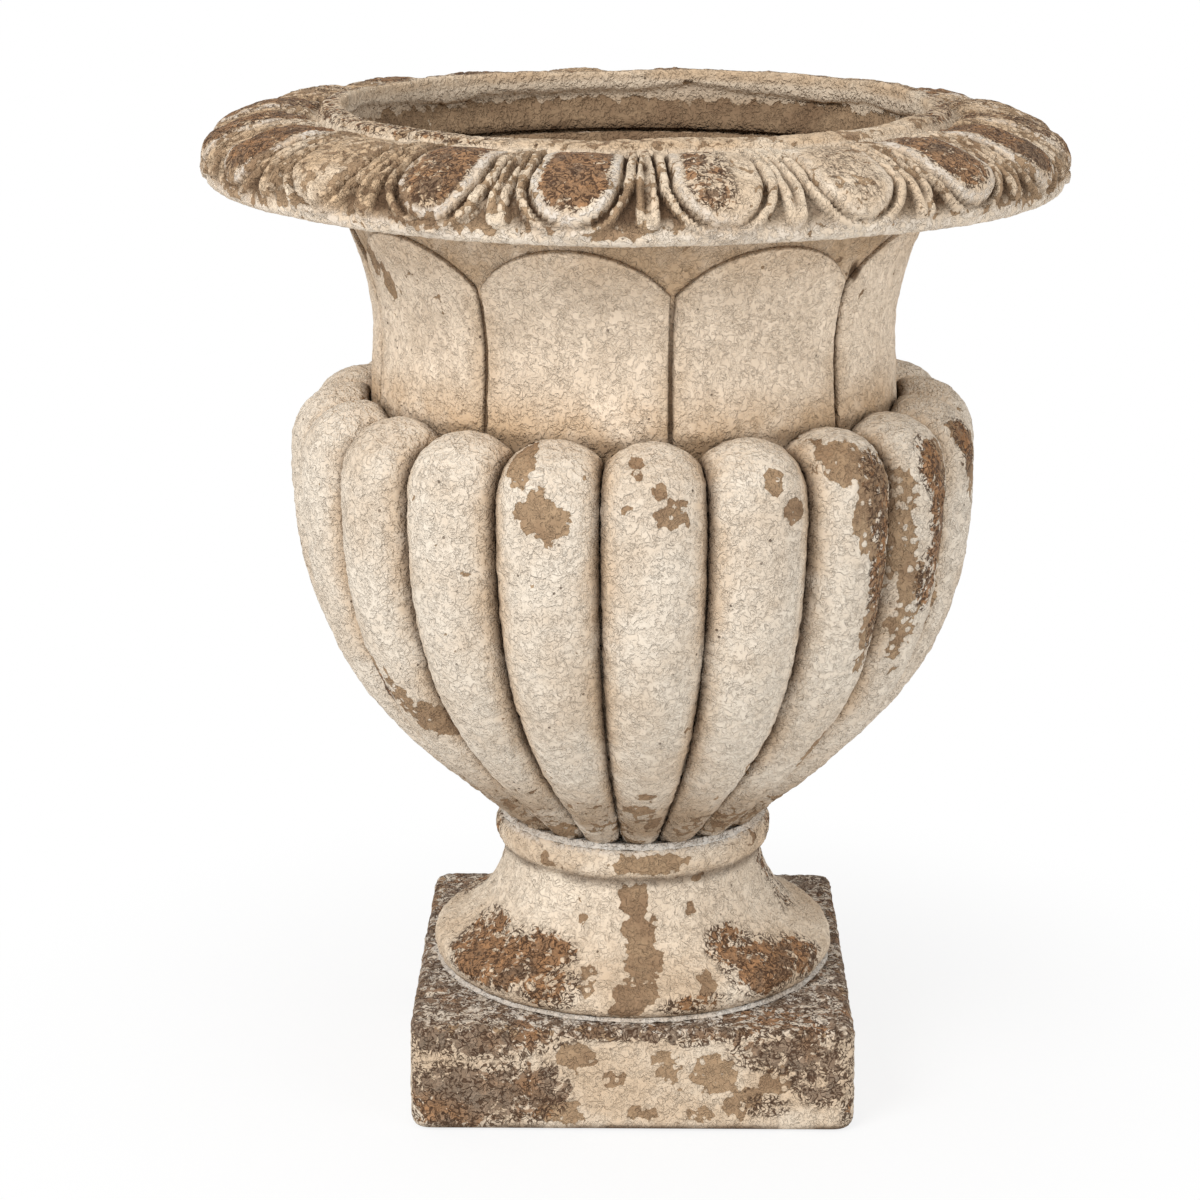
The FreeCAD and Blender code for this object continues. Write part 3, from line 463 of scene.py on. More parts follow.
def settle(obj):
    """Keep the result of an object's modifiers as its plain mesh."""
    depsgraph = bpy.context.evaluated_depsgraph_get()
    mesh = bpy.data.meshes.new_from_object(
        obj.evaluated_get(depsgraph), preserve_all_data_layers=True, depsgraph=depsgraph)
    obj.modifiers.clear()
    blank = obj.data
    obj.data = mesh
    mesh.name = obj.name
    bpy.data.meshes.remove(blank)


def carry_out(obj, tree, values):
    """Run a geometry tree on an object and keep the result as its plain mesh."""
    modifier = obj.modifiers.new(tree.name, "NODES")
    modifier.node_group = tree
    for item in tree.interface.items_tree:
        if item.item_type == "SOCKET" and item.in_out == "INPUT" and item.name in values:
            modifier[item.identifier] = values[item.name]
    settle(obj)


def new_object(name, mesh):
    obj = bpy.data.objects.new(name, mesh)
    bpy.context.scene.collection.objects.link(obj)
    return obj


def set_round(blank, name, count, first_turn, number, material):
    """Copy of a blank, set at its place round the pot."""
    obj = new_object(name, blank.data.copy())
    carry_out(obj, bpy.data.node_groups["set_round_the_pot"], {
        "Count": count, "First Turn": first_turn, "Number": number, "Material": material})
    return obj


def solid_from_grid(name, points):
    """Closed ring of quads through rows of points; rows and columns both run round."""
    rows, columns = points.shape[:2]
    row = np.arange(rows)[:, None]
    column = np.arange(columns)[None, :]
    next_row, next_column = (row + 1) % rows, (column + 1) % columns
    faces = np.stack((
        row * columns + column, row * columns + next_column,
        next_row * columns + next_column, next_row * columns + column), axis=-1).reshape(-1, 4)
    return solid_from_faces(name, points.reshape(-1, 3), faces)


def solid_from_faces(name, points, faces):
    """Object of a closed mesh whose faces point outwards."""
    first, second, third = (points[faces[:, index]] for index in (0, 1, 2))
    fourth = points[faces[:, 3]]
    volume = np.einsum("ij,ij->i", first, np.cross(second, third) + np.cross(third, fourth)).sum()
    if volume < 0:
        faces = faces[:, ::-1]
    mesh = bpy.data.meshes.new(name)
    mesh.from_pydata(points.tolist(), [], faces.tolist())
    mesh.update()
    return new_object(name, mesh)


def cad_blank(node, name, voxel, smoothing):
    """Even, softened skin over a CAD node."""
    shape = bmesh.new()
    shape.from_mesh(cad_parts[node].data)
    bmesh.ops.remove_doubles(shape, verts=shape.verts, dist=1e-6)
    mesh = bpy.data.meshes.new(name)
    shape.to_mesh(mesh)
    shape.free()
    obj = new_object(name, mesh)
    remesh = obj.modifiers.new("skin", "REMESH")
    remesh.mode = "VOXEL"
    remesh.voxel_size = voxel
    soften = obj.modifiers.new("soften", "SMOOTH")
    soften.factor = 0.5
    soften.iterations = smoothing
    settle(obj)
    return obj


def discard(obj):
    mesh = obj.data
    bpy.data.objects.remove(obj)
    bpy.data.meshes.remove(mesh)


def points_of(obj):
    flat = np.empty(len(obj.data.vertices) * 3)
    obj.data.vertices.foreach_get("co", flat)
    return flat.reshape(-1, 3)


def normals_of(obj):
    flat = np.empty(len(obj.data.vertices) * 3)
    obj.data.vertex_normals.foreach_get("vector", flat)
    return flat.reshape(-1, 3)


def store(obj, name, values):
    """Keep a value on each point of a piece."""
    attribute = obj.data.attributes.new(name, "FLOAT", "POINT")
    full = np.broadcast_to(np.asarray(values, dtype=np.float32), len(obj.data.vertices))
    attribute.data.foreach_set("value", np.ascontiguousarray(full))


def paint(obj, **masks):
    """Store the masks of wear and of painted shade and light, 0 to about 1, on the points of a piece."""
    for name in ("flaked", "crackled", "grimed", "tanned", "limed", "away"):
        store(obj, name, masks.get(name, 0.0))


def ease(values, start, end):
    """0 on the start side, 1 on the end side, with an easy passage between."""
    share = np.clip((values - start) / (end - start), 0, 1)
    return share * share * (3 - 2 * share)


def most(*masks):
    """Strongest of several masks at each point."""
    return np.maximum.reduce(np.broadcast_arrays(*masks))


def turn_of(points):
    """Turn from the front, in degrees."""
    return np.degrees(np.arctan2(points[:, 0], -points[:, 1]))


def wrap(angle, period):
    return (angle + period / 2) % period - period / 2


SPOT_FADE = (1.35, 0.55)         # share of a spot's half width between which it fades in
FRONT_END = (62, 85)             # turns between which the front passes into the sides (degrees)


def spots(across, height, places):
    """Mask of oval places on a surface, all in millimetres."""
    mask = np.zeros(len(height))
    for middle, level, half_width, half_height, strength in places:
        distance = np.hypot((across - middle) / half_width, (height - level) / half_height)
        mask = np.maximum(mask, strength * ease(distance, *SPOT_FADE))
    return mask


def spots_round(points, places):
    """Mask of oval places round the pot."""
    turn, height = turn_of(points), points[:, 2] / MM
    radius = np.hypot(points[:, 0], points[:, 1]) / MM
    mask = np.zeros(len(points))
    for middle, level, half_width, half_height, strength in places:
        across = np.radians(wrap(turn - middle, 360)) * radius
        mask = np.maximum(mask, spots(across, height, ((0, level, half_width, half_height, strength),)))
    return mask


def away_from_front(points):
    return ease(np.abs(turn_of(points)), *FRONT_END)


def weather(obj, material, old_flakes=1.0, old_crackle=0.0, lumps=1.0, grain=1.0):
    surface = bpy.context.scene.pot_surface
    carry_out(obj, bpy.data.node_groups["weathering"], {
        "Lump Size": surface.lump_size, "Lump Height": surface.lump_height * lumps,
        "Grain Size": surface.grain_size, "Grain Height": surface.grain_height * grain,
        "Flake Size": surface.flake_size, "Flake Depth": surface.flake_depth,
        "Old Flakes": old_flakes, "Old Crackle": old_crackle, "Seed": SEED, "Material": material})


def hand_over(obj, slot, *nodes):
    """Let a finished piece stand for its CAD nodes."""
    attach(obj, "root")
    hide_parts(*nodes)


def arc_points(start, end, radius, count, centre_side):
    """Points of an arc after its start, as (radius, level).

    The centre lies to the left (1) or to the right (-1) of the way.
    """
    start, end = np.array(start, float), np.array(end, float)
    chord = end - start
    length = np.hypot(*chord)
    left = np.array((-chord[1], chord[0])) / length
    centre = (start + end) / 2 + left * math.sqrt(max(radius ** 2 - length ** 2 / 4, 0)) * centre_side
    first = math.atan2(*(start - centre)[::-1])
    turn = 2 * math.asin(min(length / 2 / radius, 1)) * centre_side
    angles = first + turn * np.arange(1, count + 1) / count
    return centre + radius * np.stack((np.cos(angles), np.sin(angles)), axis=-1)


def line_points(start, end, count):
    share = np.arange(1, count + 1)[:, None] / count
    return np.array(start, float) * (1 - share) + np.array(end, float) * share


def lathe(profile, columns):
    """Rows of points round the pot, from a closed profile of (radius, level) in millimetres."""
    turn = np.linspace(0, 2 * np.pi, columns, endpoint=False)
    radius, level = profile[:, 0, None], profile[:, 1, None]
    return np.stack((radius * np.sin(turn), -radius * np.cos(turn), level + 0 * turn), axis=-1) * MM


def shader_attribute(tree, name):
    node = tree.nodes.new("ShaderNodeAttribute")
    node.attribute_name = name
    return Field(node.outputs["Fac"])


def blend(factor, first, second):
    """Colour between two colours."""
    node = factor.tree.nodes.new("ShaderNodeMix")
    node.data_type = "RGBA"
    feed(node.inputs[0], factor)
    for socket, colour in ((node.inputs[6], first), (node.inputs[7], second)):
        feed(socket, colour if isinstance(colour, Field) else (*colour, 1.0))
    return Field(node.outputs[2])


def make_flaking_group():
    """Islands where the wash has flaked off, and the thin rim of wash round them."""
    _, given, leave = new_tree("flaking", "ShaderNodeTree", (
        ("Place", "Vector", None), ("Flaked", "Float", 0.0), ("Size", "Float", 0.011)),
        (("Flakes", "Float"), ("Rims", "Float")))
    pattern, edge = flake_mask(given["Place"], given["Flaked"], given["Size"], SEED)
    flakes = ramp(pattern, edge - 0.004, edge + 0.004)
    feed(leave.inputs["Flakes"], flakes)
    feed(leave.inputs["Rims"], ramp(pattern, edge - 0.03, edge - 0.004) - flakes)


def make_crackle_group():
    """Crumbled stain: where it lies, the dark cracks in it and its slow change of tint."""
    _, given, leave = new_tree("crackle", "ShaderNodeTree", (
        ("Place", "Vector", None), ("Crackled", "Float", 0.0), ("Size", "Float", 0.0048)),
        (("Stain", "Float"), ("Cracks", "Float"), ("Tint", "Float")))
    place, size, crackled = given["Place"], given["Size"], given["Crackled"]
    pattern = noise(place, size, SEED + 31.0, detail=3.0, roughness=0.6, distortion=0.8)
    edge = 0.80 - 0.38 * crackled
    wander = calc("ABSOLUTE", noise(place, size * 0.7, SEED + 37.0, detail=1.0, distortion=1.2) - 0.5)
    broken = ramp(noise(place, size * 0.9, SEED + 41.0, detail=2.0), 0.37, 0.46)
    feed(leave.inputs["Stain"], ramp(pattern, edge - 0.025, edge + 0.025))
    feed(leave.inputs["Cracks"], ramp(wander, 0.07, 0.022) * broken * ramp(crackled, 0.12, 0.5))
    feed(leave.inputs["Tint"], noise(place, size * 2.4, SEED + 43.0, detail=3.0))


def make_grain_group():
    """Stippled grain of the wash, its short furrows, pinholes of the casting and slow changes of tone."""
    _, given, leave = new_tree("grain", "ShaderNodeTree", (
        ("Place", "Vector", None), ("Size", "Float", 0.0019), ("Pinhole Spacing", "Float", 0.006)),
        (("Grain", "Float"), ("Furrows", "Float"), ("Pinholes", "Float"), ("Tone", "Float")))
    place, size = given["Place"], given["Size"]
    fine = noise(place, size, SEED + 51.0, detail=2.0, roughness=0.6)
    coarse = noise(place, size * 2.2, SEED + 53.0, detail=2.0)
    wander = calc("ABSOLUTE", noise(place, size * 1.5, SEED + 55.0, detail=1.0, distortion=0.8) - 0.5)
    broken = ramp(noise(place, size * 2.2, SEED + 56.0, detail=1.0), 0.47, 0.58)
    some = ramp(noise(place, 0.02, SEED + 57.0), 0.48, 0.62)
    feed(leave.inputs["Grain"], ramp(fine * 0.55 + coarse * 0.45, 0.43, 0.57))
    feed(leave.inputs["Furrows"], ramp(wander, 0.06, 0.012) * broken)
    feed(leave.inputs["Pinholes"], ramp(cells(place, given["Pinhole Spacing"]), 0.12, 0.07) * some)
    feed(leave.inputs["Tone"], noise(place, 0.028, SEED + 61.0, detail=4.0, roughness=0.6))


def place_group(tree, name, **values):
    node = tree.nodes.new("ShaderNodeGroup")
    node.node_tree = bpy.data.node_groups[name]
    for label, item in values.items():
        feed(node.inputs[label.replace("_", " ")], item)
    return {socket.name: Field(socket) for socket in node.outputs}


# Depths of the fine relief that the finishes add (m)
FURROW_DEPTH, FLAKE_STEP, STAIN_DEPTH, CRACK_DEPTH, PINHOLE_DEPTH = 0.0005, 0.00035, 0.00015, 0.0003, 0.0005


def make_finish(name, wash, grey=0.0, grain_depth=0.75):
    """Cream wash over a tan body, with flakes, crackled stain, grime with painted shade, lime bloom with
    painted light on the rim's nose, and pinholes; the low places of the grain, the furrows and the pinholes
    are darkened as painted shade.
    """
    colours, surface = bpy.context.scene.pot_colours, bpy.context.scene.pot_surface
    shade, tan, body, dark_body, brown, rust, stone, crack, dirt_and_shade, lime_and_light = (
        tuple(getattr(colours, label)) for label in (
            "wash_shade", "tan", "body", "body_shade", "crackle", "rust", "stone", "crack", "grime_and_shade", "lime_and_light"))
    material = bpy.data.materials.new(name)
    material.use_nodes = True
    tree = material.node_tree
    shader = tree.nodes["Principled BSDF"]
    place = Field(tree.nodes.new("ShaderNodeTexCoord").outputs["Object"])
    flaked, crackled, grimed, tanned, limed = (
        shader_attribute(tree, label) for label in ("flaked", "crackled", "grimed", "tanned", "limed"))
    flaking = place_group(tree, "flaking", Place=place, Flaked=flaked, Size=surface.flake_size)
    crackle = place_group(tree, "crackle", Place=place, Crackled=crackled)
    grain = place_group(tree, "grain", Place=place)
    tone, stipple = grain["Tone"], grain["Grain"]
    colour = blend(ramp(tone, 0.38, 0.72) * 0.7, tuple(wash), shade)
    # Painted shade: the low places of the grain are darkened towards the wash shade
    colour = blend((1.0 - stipple) * 0.18, colour, shade)
    colour = blend(tanned * ramp(tone, 0.26, 0.58) * 0.8, colour, tan)
    # Lime bloom, and painted light on the rim's nose
    colour = blend(limed * (0.35 + 0.65 * stipple) * 0.85, colour, lime_and_light)
    # Painted shade: the furrows are darkened towards the body
    colour = blend(grain["Furrows"] * 0.14, colour, body)
    bare = blend(ramp(tone, 0.42, 0.66), body, dark_body)
    bare = blend((1.0 - stipple) * 0.35, bare, dark_body)
    colour = blend(flaking["Rims"] * 0.35, colour, body)
    colour = blend(flaking["Flakes"], colour, bare)
    stain = blend(ramp(crackle["Tint"], 0.62, 0.48), brown, rust)
    if grey:
        stain = blend(ramp(tone, 0.36, 0.54) * grey, stain, stone)
    stain = blend((1.0 - stipple) * 0.4, stain, dirt_and_shade)
    colour = blend(crackle["Stain"] * 0.92, colour, stain)
    colour = blend(crackle["Cracks"] * 0.92, colour, crack)
    # Grime, and painted shade in the seams, cuts and gaps and inside the mouth
    colour = blend(grimed * ramp(tone, 0.22, 0.50), colour, dirt_and_shade)
    # Painted shade: the pinholes are painted near-black
    colour = blend(grain["Pinholes"] * 0.8, colour, crack)
    feed(shader.inputs["Base Color"], colour)
    feed(shader.inputs["Roughness"], 0.95 - 0.16 * flaking["Flakes"] - 0.12 * crackle["Stain"])
    shader.inputs["Specular IOR Level"].default_value = 0.25
    height = (
        stipple * (grain_depth * MM) - grain["Furrows"] * FURROW_DEPTH - flaking["Flakes"] * FLAKE_STEP
        - crackle["Stain"] * STAIN_DEPTH - crackle["Cracks"] * CRACK_DEPTH
        - grain["Pinholes"] * PINHOLE_DEPTH)
    bump = tree.nodes.new("ShaderNodeBump")
    bump.inputs["Strength"].default_value = 1.0
    bump.inputs["Distance"].default_value = 1.0
    feed(bump.inputs["Height"], height)
    tree.links.new(bump.outputs["Normal"], shader.inputs["Normal"])
    return material


class POT_OT_finishes(bpy.types.Operator):
    """Make the shared patterns, the node trees and the finishes"""
    bl_idname = "pot.finishes"
    bl_label = "Finishes"

    def execute(self, context):
        colours = context.scene.pot_colours
        make_flaking_group()
        make_crackle_group()
        make_grain_group()
        make_repeat_tree()
        make_weathering_tree()
        make_egg_and_dart_tree()
        wash = np.array(colours.wash)
        make_finish("worn_plinth", wash * (0.97, 0.94, 0.90), grey=0.75)
        make_finish("worn_foot", wash * (1.10, 1.07, 1.03))
        make_finish("worn_bowl", wash)
        make_finish("worn_neck", wash * (1.15, 1.09, 1.03))
        make_finish("worn_rim", wash * (1.04, 0.98, 0.90), grey=0.15)
        make_finish("worn_mortar", np.array(colours.mortar), grain_depth=0.8)
        return {"FINISHED"}


class POT_OT_plinth(bpy.types.Operator):
    """Dress the square plinth: crackled grey-brown stain with a cream patch on its front"""
    bl_idname = "pot.plinth"
    bl_label = "Plinth"

    # Passages of the wear: levels, ways in from the sides, and radii of the lime round the foot (mm)
    TOP, ARRIS, DIRT = (42, 45.5), (38, 44), (4.5, 1.5)
    EDGE, FRONT = (9, 3), (8, 3)
    BLOOM = (104, 88)

    def execute(self, context):
        obj = cad_blank("plinth", "plinth_skin", voxel=1.3 * MM, smoothing=7)
        points = points_of(obj)
        x, y, z = (points / MM).T
        half = np.abs(points).max(axis=0)[0] / MM
        edge = [half - inset for inset in self.EDGE]
        top = ease(z, *self.TOP)
        arris = ease(z, *self.ARRIS) * ease(np.maximum(np.abs(x), np.abs(y)), *edge)
        front = ease(-y, *(half - inset for inset in self.FRONT))
        corner = ease(np.minimum(np.abs(x), np.abs(y)), *edge)
        crackled = most(0.80 * top, 0.85 * arris, front * spots(x, z, CRACKLE_ON_PLINTH), 0.65 * corner)
        paint(obj, crackled=crackled, flaked=np.maximum(front * spots(x, z, FLAKES_ON_PLINTH), 0.55 * arris),
              grimed=0.95 * ease(z, *self.DIRT),
              limed=top * (0.35 + 0.4 * ease(np.hypot(x, y), *self.BLOOM)),
              tanned=0.5 * front, away=(1 - front) * (1 - top))
        weather(obj, bpy.data.materials["worn_plinth"], old_flakes=0.9, old_crackle=1.15, lumps=1.1)
        hand_over(obj, "plinth_finish", "plinth")
        return {"FINISHED"}


class POT_OT_foot(bpy.types.Operator):
    """Dress the turned foot: cream wash, a bare drip down its front and crackled cheeks"""
    bl_idname = "pot.foot"
    bl_label = "Foot"

    # Levels of the groove under the collar, of the dirt, of the warm stains and of the lime (mm)
    COLLAR_GROOVE, DIRT, BELLY, COLLAR, LIME = 97.8, (50.5, 47.5), (84, 60), (97, 102), (109, 112)

    def execute(self, context):
        obj = cad_blank("foot", "foot_skin", voxel=1.2 * MM, smoothing=4)
        points = points_of(obj)
        z = points[:, 2] / MM
        radius = np.hypot(points[:, 0], points[:, 1]) / MM
        under_collar = ease(np.abs(z - self.COLLAR_GROOVE), 4.5, 0.5) * ease(radius, 70, 62)
        paint(obj, flaked=spots_round(points, FLAKES_ON_FOOT), crackled=spots_round(points, CRACKLE_ON_FOOT),
              grimed=np.maximum(0.65 * under_collar, 0.8 * ease(z, *self.DIRT)),
              tanned=np.maximum(0.45 * ease(z, *self.BELLY), 0.5 * ease(z, *self.COLLAR)),
              limed=0.7 * ease(z, *self.LIME), away=away_from_front(points))
        weather(obj, bpy.data.materials["worn_foot"], old_flakes=0.9, old_crackle=0.9)
        hand_over(obj, "foot_finish", "foot")
        return {"FINISHED"}


class POT_OT_bowl(bpy.types.Operator):
    """Dress the plain bowl behind the lobes: tan inside, with grime and painted shade where the seams show it
    """
    bl_idname = "pot.bowl"
    bl_label = "Bowl"

    def execute(self, context):
        obj = cad_blank("bowl", "bowl_skin", voxel=2.4 * MM, smoothing=3)
        # The bowl shows only at the bottom of the seams: grime and painted shade there
        paint(obj, flaked=0.45, grimed=0.55, tanned=0.8)
        weather(obj, bpy.data.materials["worn_bowl"], old_flakes=0.0)
        hand_over(obj, "bowl_finish", "bowl")
        return {"FINISHED"}


class POT_OT_lobes(bpy.types.Operator):
    """Set the lobes round the bowl, each with its own lumps and wear, with grime and painted shade in the
    seams and painted shade behind the domes
    """
    bl_idname = "pot.lobes"
    bl_label = "Lobes"

    # Levels of the tips, radii and levels behind the domes, and levels of the lime (mm)
    TIP, BEHIND, DOME, LIME = (156, 124), (117, 112), (285, 292), (120, 114)
    # Share of the way from a lobe's crest to its seam over which grime with painted shade, and warm stain,
    # set in
    SEAM, WARM = (0.80, 1.0), (0.55, 0.95)

    def execute(self, context):
        sizes = context.scene.pot_sizes
        material = bpy.data.materials["worn_bowl"]
        blank = cad_blank("gadroon_01", "lobe_blank", voxel=1.3 * MM, smoothing=5)
        pitch = 360 / sizes.lobe_count
        for number in range(sizes.lobe_count):
            obj = set_round(blank, f"lobe_{number + 1:02d}", sizes.lobe_count, 0.0, number, material)
            points = points_of(obj)
            z = points[:, 2] / MM
            radius = np.hypot(points[:, 0], points[:, 1]) / MM
            from_crest = np.abs(wrap(turn_of(points) - math.degrees(sizes.lobe_turn), pitch)) / (pitch / 2)
            seam = ease(from_crest, *self.SEAM)
            behind = ease(radius, *self.BEHIND) * ease(z, *self.DOME)
            tip = ease(z, *self.TIP)
            # Grime and painted shade in the seams, painted shade behind the domes where they meet the neck,
            # and darker towards the tips
            grimed = most(0.85 * seam, 0.8 * behind, 0.42 * tip)
            paint(obj, flaked=np.maximum(spots_round(points, FLAKES_ON_LOBES), 0.5 * tip), grimed=grimed,
                  crackled=spots_round(points, CRACKLE_ON_LOBES),
                  tanned=np.maximum(0.7 * ease(from_crest, *self.WARM), 0.8 * tip),
                  limed=0.8 * ease(z, *self.LIME) * seam, away=away_from_front(points))
            weather(obj, material, old_flakes=1.05)
            hand_over(obj, "bowl_finish", f"gadroon_{number + 1:02d}")
        discard(blank)
        return {"FINISHED"}


class POT_OT_neck(bpy.types.Operator):
    """Dress the flared neck, seen above the petals and inside the mouth"""
    bl_idname = "pot.neck"
    bl_label = "Neck"

    SHADE, COVERED = (350, 380), (356, 350)   # levels of the grime and painted shade under the rim, and of the painted shade behind the petals (mm)

    def execute(self, context):
        obj = cad_blank("neck", "neck_skin", voxel=1.6 * MM, smoothing=3)
        points = points_of(obj)
        z = points[:, 2] / MM
        facing = np.einsum("ij,ij->i", points[:, :2], normals_of(obj)[:, :2])
        inside = facing < 0
        # Outside: grime and painted shade under the rim, and painted shade behind the petals that shows in
        # the gaps between them; the small hole at a petal's corner is painted dark as its shade; inside the
        # mouth the darkening is painted shade
        outside = np.maximum(0.3 * ease(z, *self.SHADE), 0.85 * ease(z, *self.COVERED))
        grimed = np.where(inside, 0.22, np.maximum(outside, spots_round(points, HOLE_SHADE_ON_NECK)))
        paint(obj, tanned=0.95, grimed=grimed, flaked=np.where(inside, 1.3, 0.18),
              away=away_from_front(points) * ~inside)
        weather(obj, bpy.data.materials["worn_neck"], old_flakes=0.3, grain=0.6)
        hand_over(obj, "neck_finish", "neck")
        return {"FINISHED"}


class POT_OT_petals(bpy.types.Operator):
    """Lay the arched petals round the neck, with rounded edges and a warm stain beside the joints"""
    bl_idname = "pot.petals"
    bl_label = "Petals"

    COLUMNS, ROWS = 66, 72
    # Levels of a petal, and the neck's wall behind it (mm)
    BASE, SPRING, HEAD = 290.5, 355.5, 376.0
    WAIST_LEVEL, WAIST_RADIUS, SPLAY, FLARE_ROUND = 325.0, 106.7, 1.9, 99.85
    HALF_TURN = 19.6                 # degrees
    SWELL, SWELL_RUN = 0.5, (0, 16)  # swelling of a petal's front, and way in from its edge (mm)
    # Levels of the warm stains and of the dirt, depth of the line along the arch (mm)
    LOW_STAIN, HIGH_STAIN, DIRT, ARCH_LINE = (324, 299), (355, 376), (304, 298), (1.6, 0.3)
    # Share of the way from a petal's middle to its seam over which painted shade and warm stain set in
    SEAM, WARM = (0.955, 0.985), (0.70, 0.96)

    def wall(self, level):
        """Radius of the neck behind the petals."""
        below = self.WAIST_RADIUS + self.SPLAY * (self.WAIST_LEVEL - level) / (self.WAIST_LEVEL - self.BASE)
        rise = np.clip(level - self.WAIST_LEVEL, 0, None)
        above = self.WAIST_RADIUS + self.FLARE_ROUND - np.sqrt(self.FLARE_ROUND ** 2 - rise ** 2)
        return np.where(level < self.WAIST_LEVEL, below, above)

    def arch(self, turn, sizes):
        """Level of a petal's head at a turn from its middle."""
        rise = self.HEAD - self.SPRING
        half = (self.wall(self.SPRING) + sizes.petal_thickness / MM) * math.sin(math.pi / sizes.petal_count)
        radius = (half ** 2 + rise ** 2) / (2 * rise)
        across = self.wall(self.SPRING) * np.sin(np.radians(turn))
        return self.HEAD - radius + np.sqrt(radius ** 2 - np.clip(np.abs(across), 0, half) ** 2)

    def blank(self, sizes):
        """One petal facing the front, as rows of points that run round its section."""
        thickness, edge = sizes.petal_thickness / MM, sizes.petal_edge / MM
        share = np.linspace(-1, 1, self.COLUMNS)
        share = np.sign(share) * (1 - (1 - np.abs(share)) ** 1.15)
        turn = share * self.HALF_TURN
        head = self.arch(turn, sizes)
        up = np.linspace(0, 1, self.ROWS)
        up = 1 - (1 - up) ** 1.12
        level = self.BASE + up[:, None] * (head - self.BASE)[None, :]
        to_side = (self.HALF_TURN - np.abs(turn))[None, :] * np.radians(1) * self.wall(level)
        to_edge = np.minimum(to_side, head[None, :] - level)
        fall = edge - np.sqrt(np.clip(edge ** 2 - np.clip(edge - to_edge, 0, edge) ** 2, 0, None))
        front = self.wall(level) + thickness + self.SWELL * ease(to_edge, *self.SWELL_RUN) - fall
        rows = np.concatenate((
            self.spread(front, turn, level), self.spread(self.wall(level), turn, level)[:, ::-1]), axis=1)
        return rows * MM

    @staticmethod
    def spread(radius, turn, level):
        angle = np.radians(turn)[None, :]
        return np.stack((radius * np.sin(angle), -radius * np.cos(angle), level + 0 * angle), axis=-1)

    def faces(self, columns):
        """Faces round a petal's sections, and those that close its foot and its head."""
        row = np.arange(self.ROWS - 1)[:, None]
        column = np.arange(columns)[None, :]
        following = (column + 1) % columns
        skin = np.stack((
            row * columns + column, row * columns + following,
            (row + 1) * columns + following, (row + 1) * columns + column), axis=-1).reshape(-1, 4)
        near = np.arange(self.COLUMNS - 1)
        foot = np.stack((near + 1, near, columns - 1 - near, columns - 2 - near), axis=-1)
        head = foot[:, ::-1] + (self.ROWS - 1) * columns
        return np.concatenate((skin, foot, head))

    def execute(self, context):
        sizes = context.scene.pot_sizes
        material = bpy.data.materials["worn_neck"]
        rows = self.blank(sizes)
        blank = solid_from_faces("petal_blank", rows.reshape(-1, 3), self.faces(rows.shape[1]))
        pitch = 360 / sizes.petal_count
        for number in range(sizes.petal_count):
            name = f"petal_skin_{number + 1:02d}"
            obj = set_round(blank, name, sizes.petal_count, sizes.petal_turn, number, material)
            points = points_of(obj)
            z = points[:, 2] / MM
            own_turn = wrap(turn_of(points) - math.degrees(sizes.petal_turn), pitch)
            from_middle = np.abs(own_turn) / (pitch / 2)
            under_arch = ease(self.arch(own_turn, sizes) - z, *self.ARCH_LINE)
            # Painted shade along the joints between the petals, a dark line along the arch's edge, darker
            # towards the petal's foot, and the hole at a corner painted dark as its shade
            seam = np.maximum(ease(from_middle, *self.SEAM), 0.8 * under_arch)
            grimed = most(0.9 * seam, 0.6 * ease(z, *self.DIRT), spots_round(points, HOLE_SHADE_ON_NECK))
            tanned = most(0.5 * ease(from_middle, *self.WARM), 1.2 * ease(z, *self.LOW_STAIN),
                          0.7 * ease(z, *self.HIGH_STAIN))
            paint(obj, flaked=spots_round(points, FLAKES_ON_NECK), grimed=grimed, tanned=0.85 * tanned,
                  away=away_from_front(points))
            weather(obj, material, old_flakes=0.8, lumps=0.8, grain=0.6)
            hand_over(obj, "neck_finish", f"petal_{number + 1:02d}")
        discard(blank)
        return {"FINISHED"}


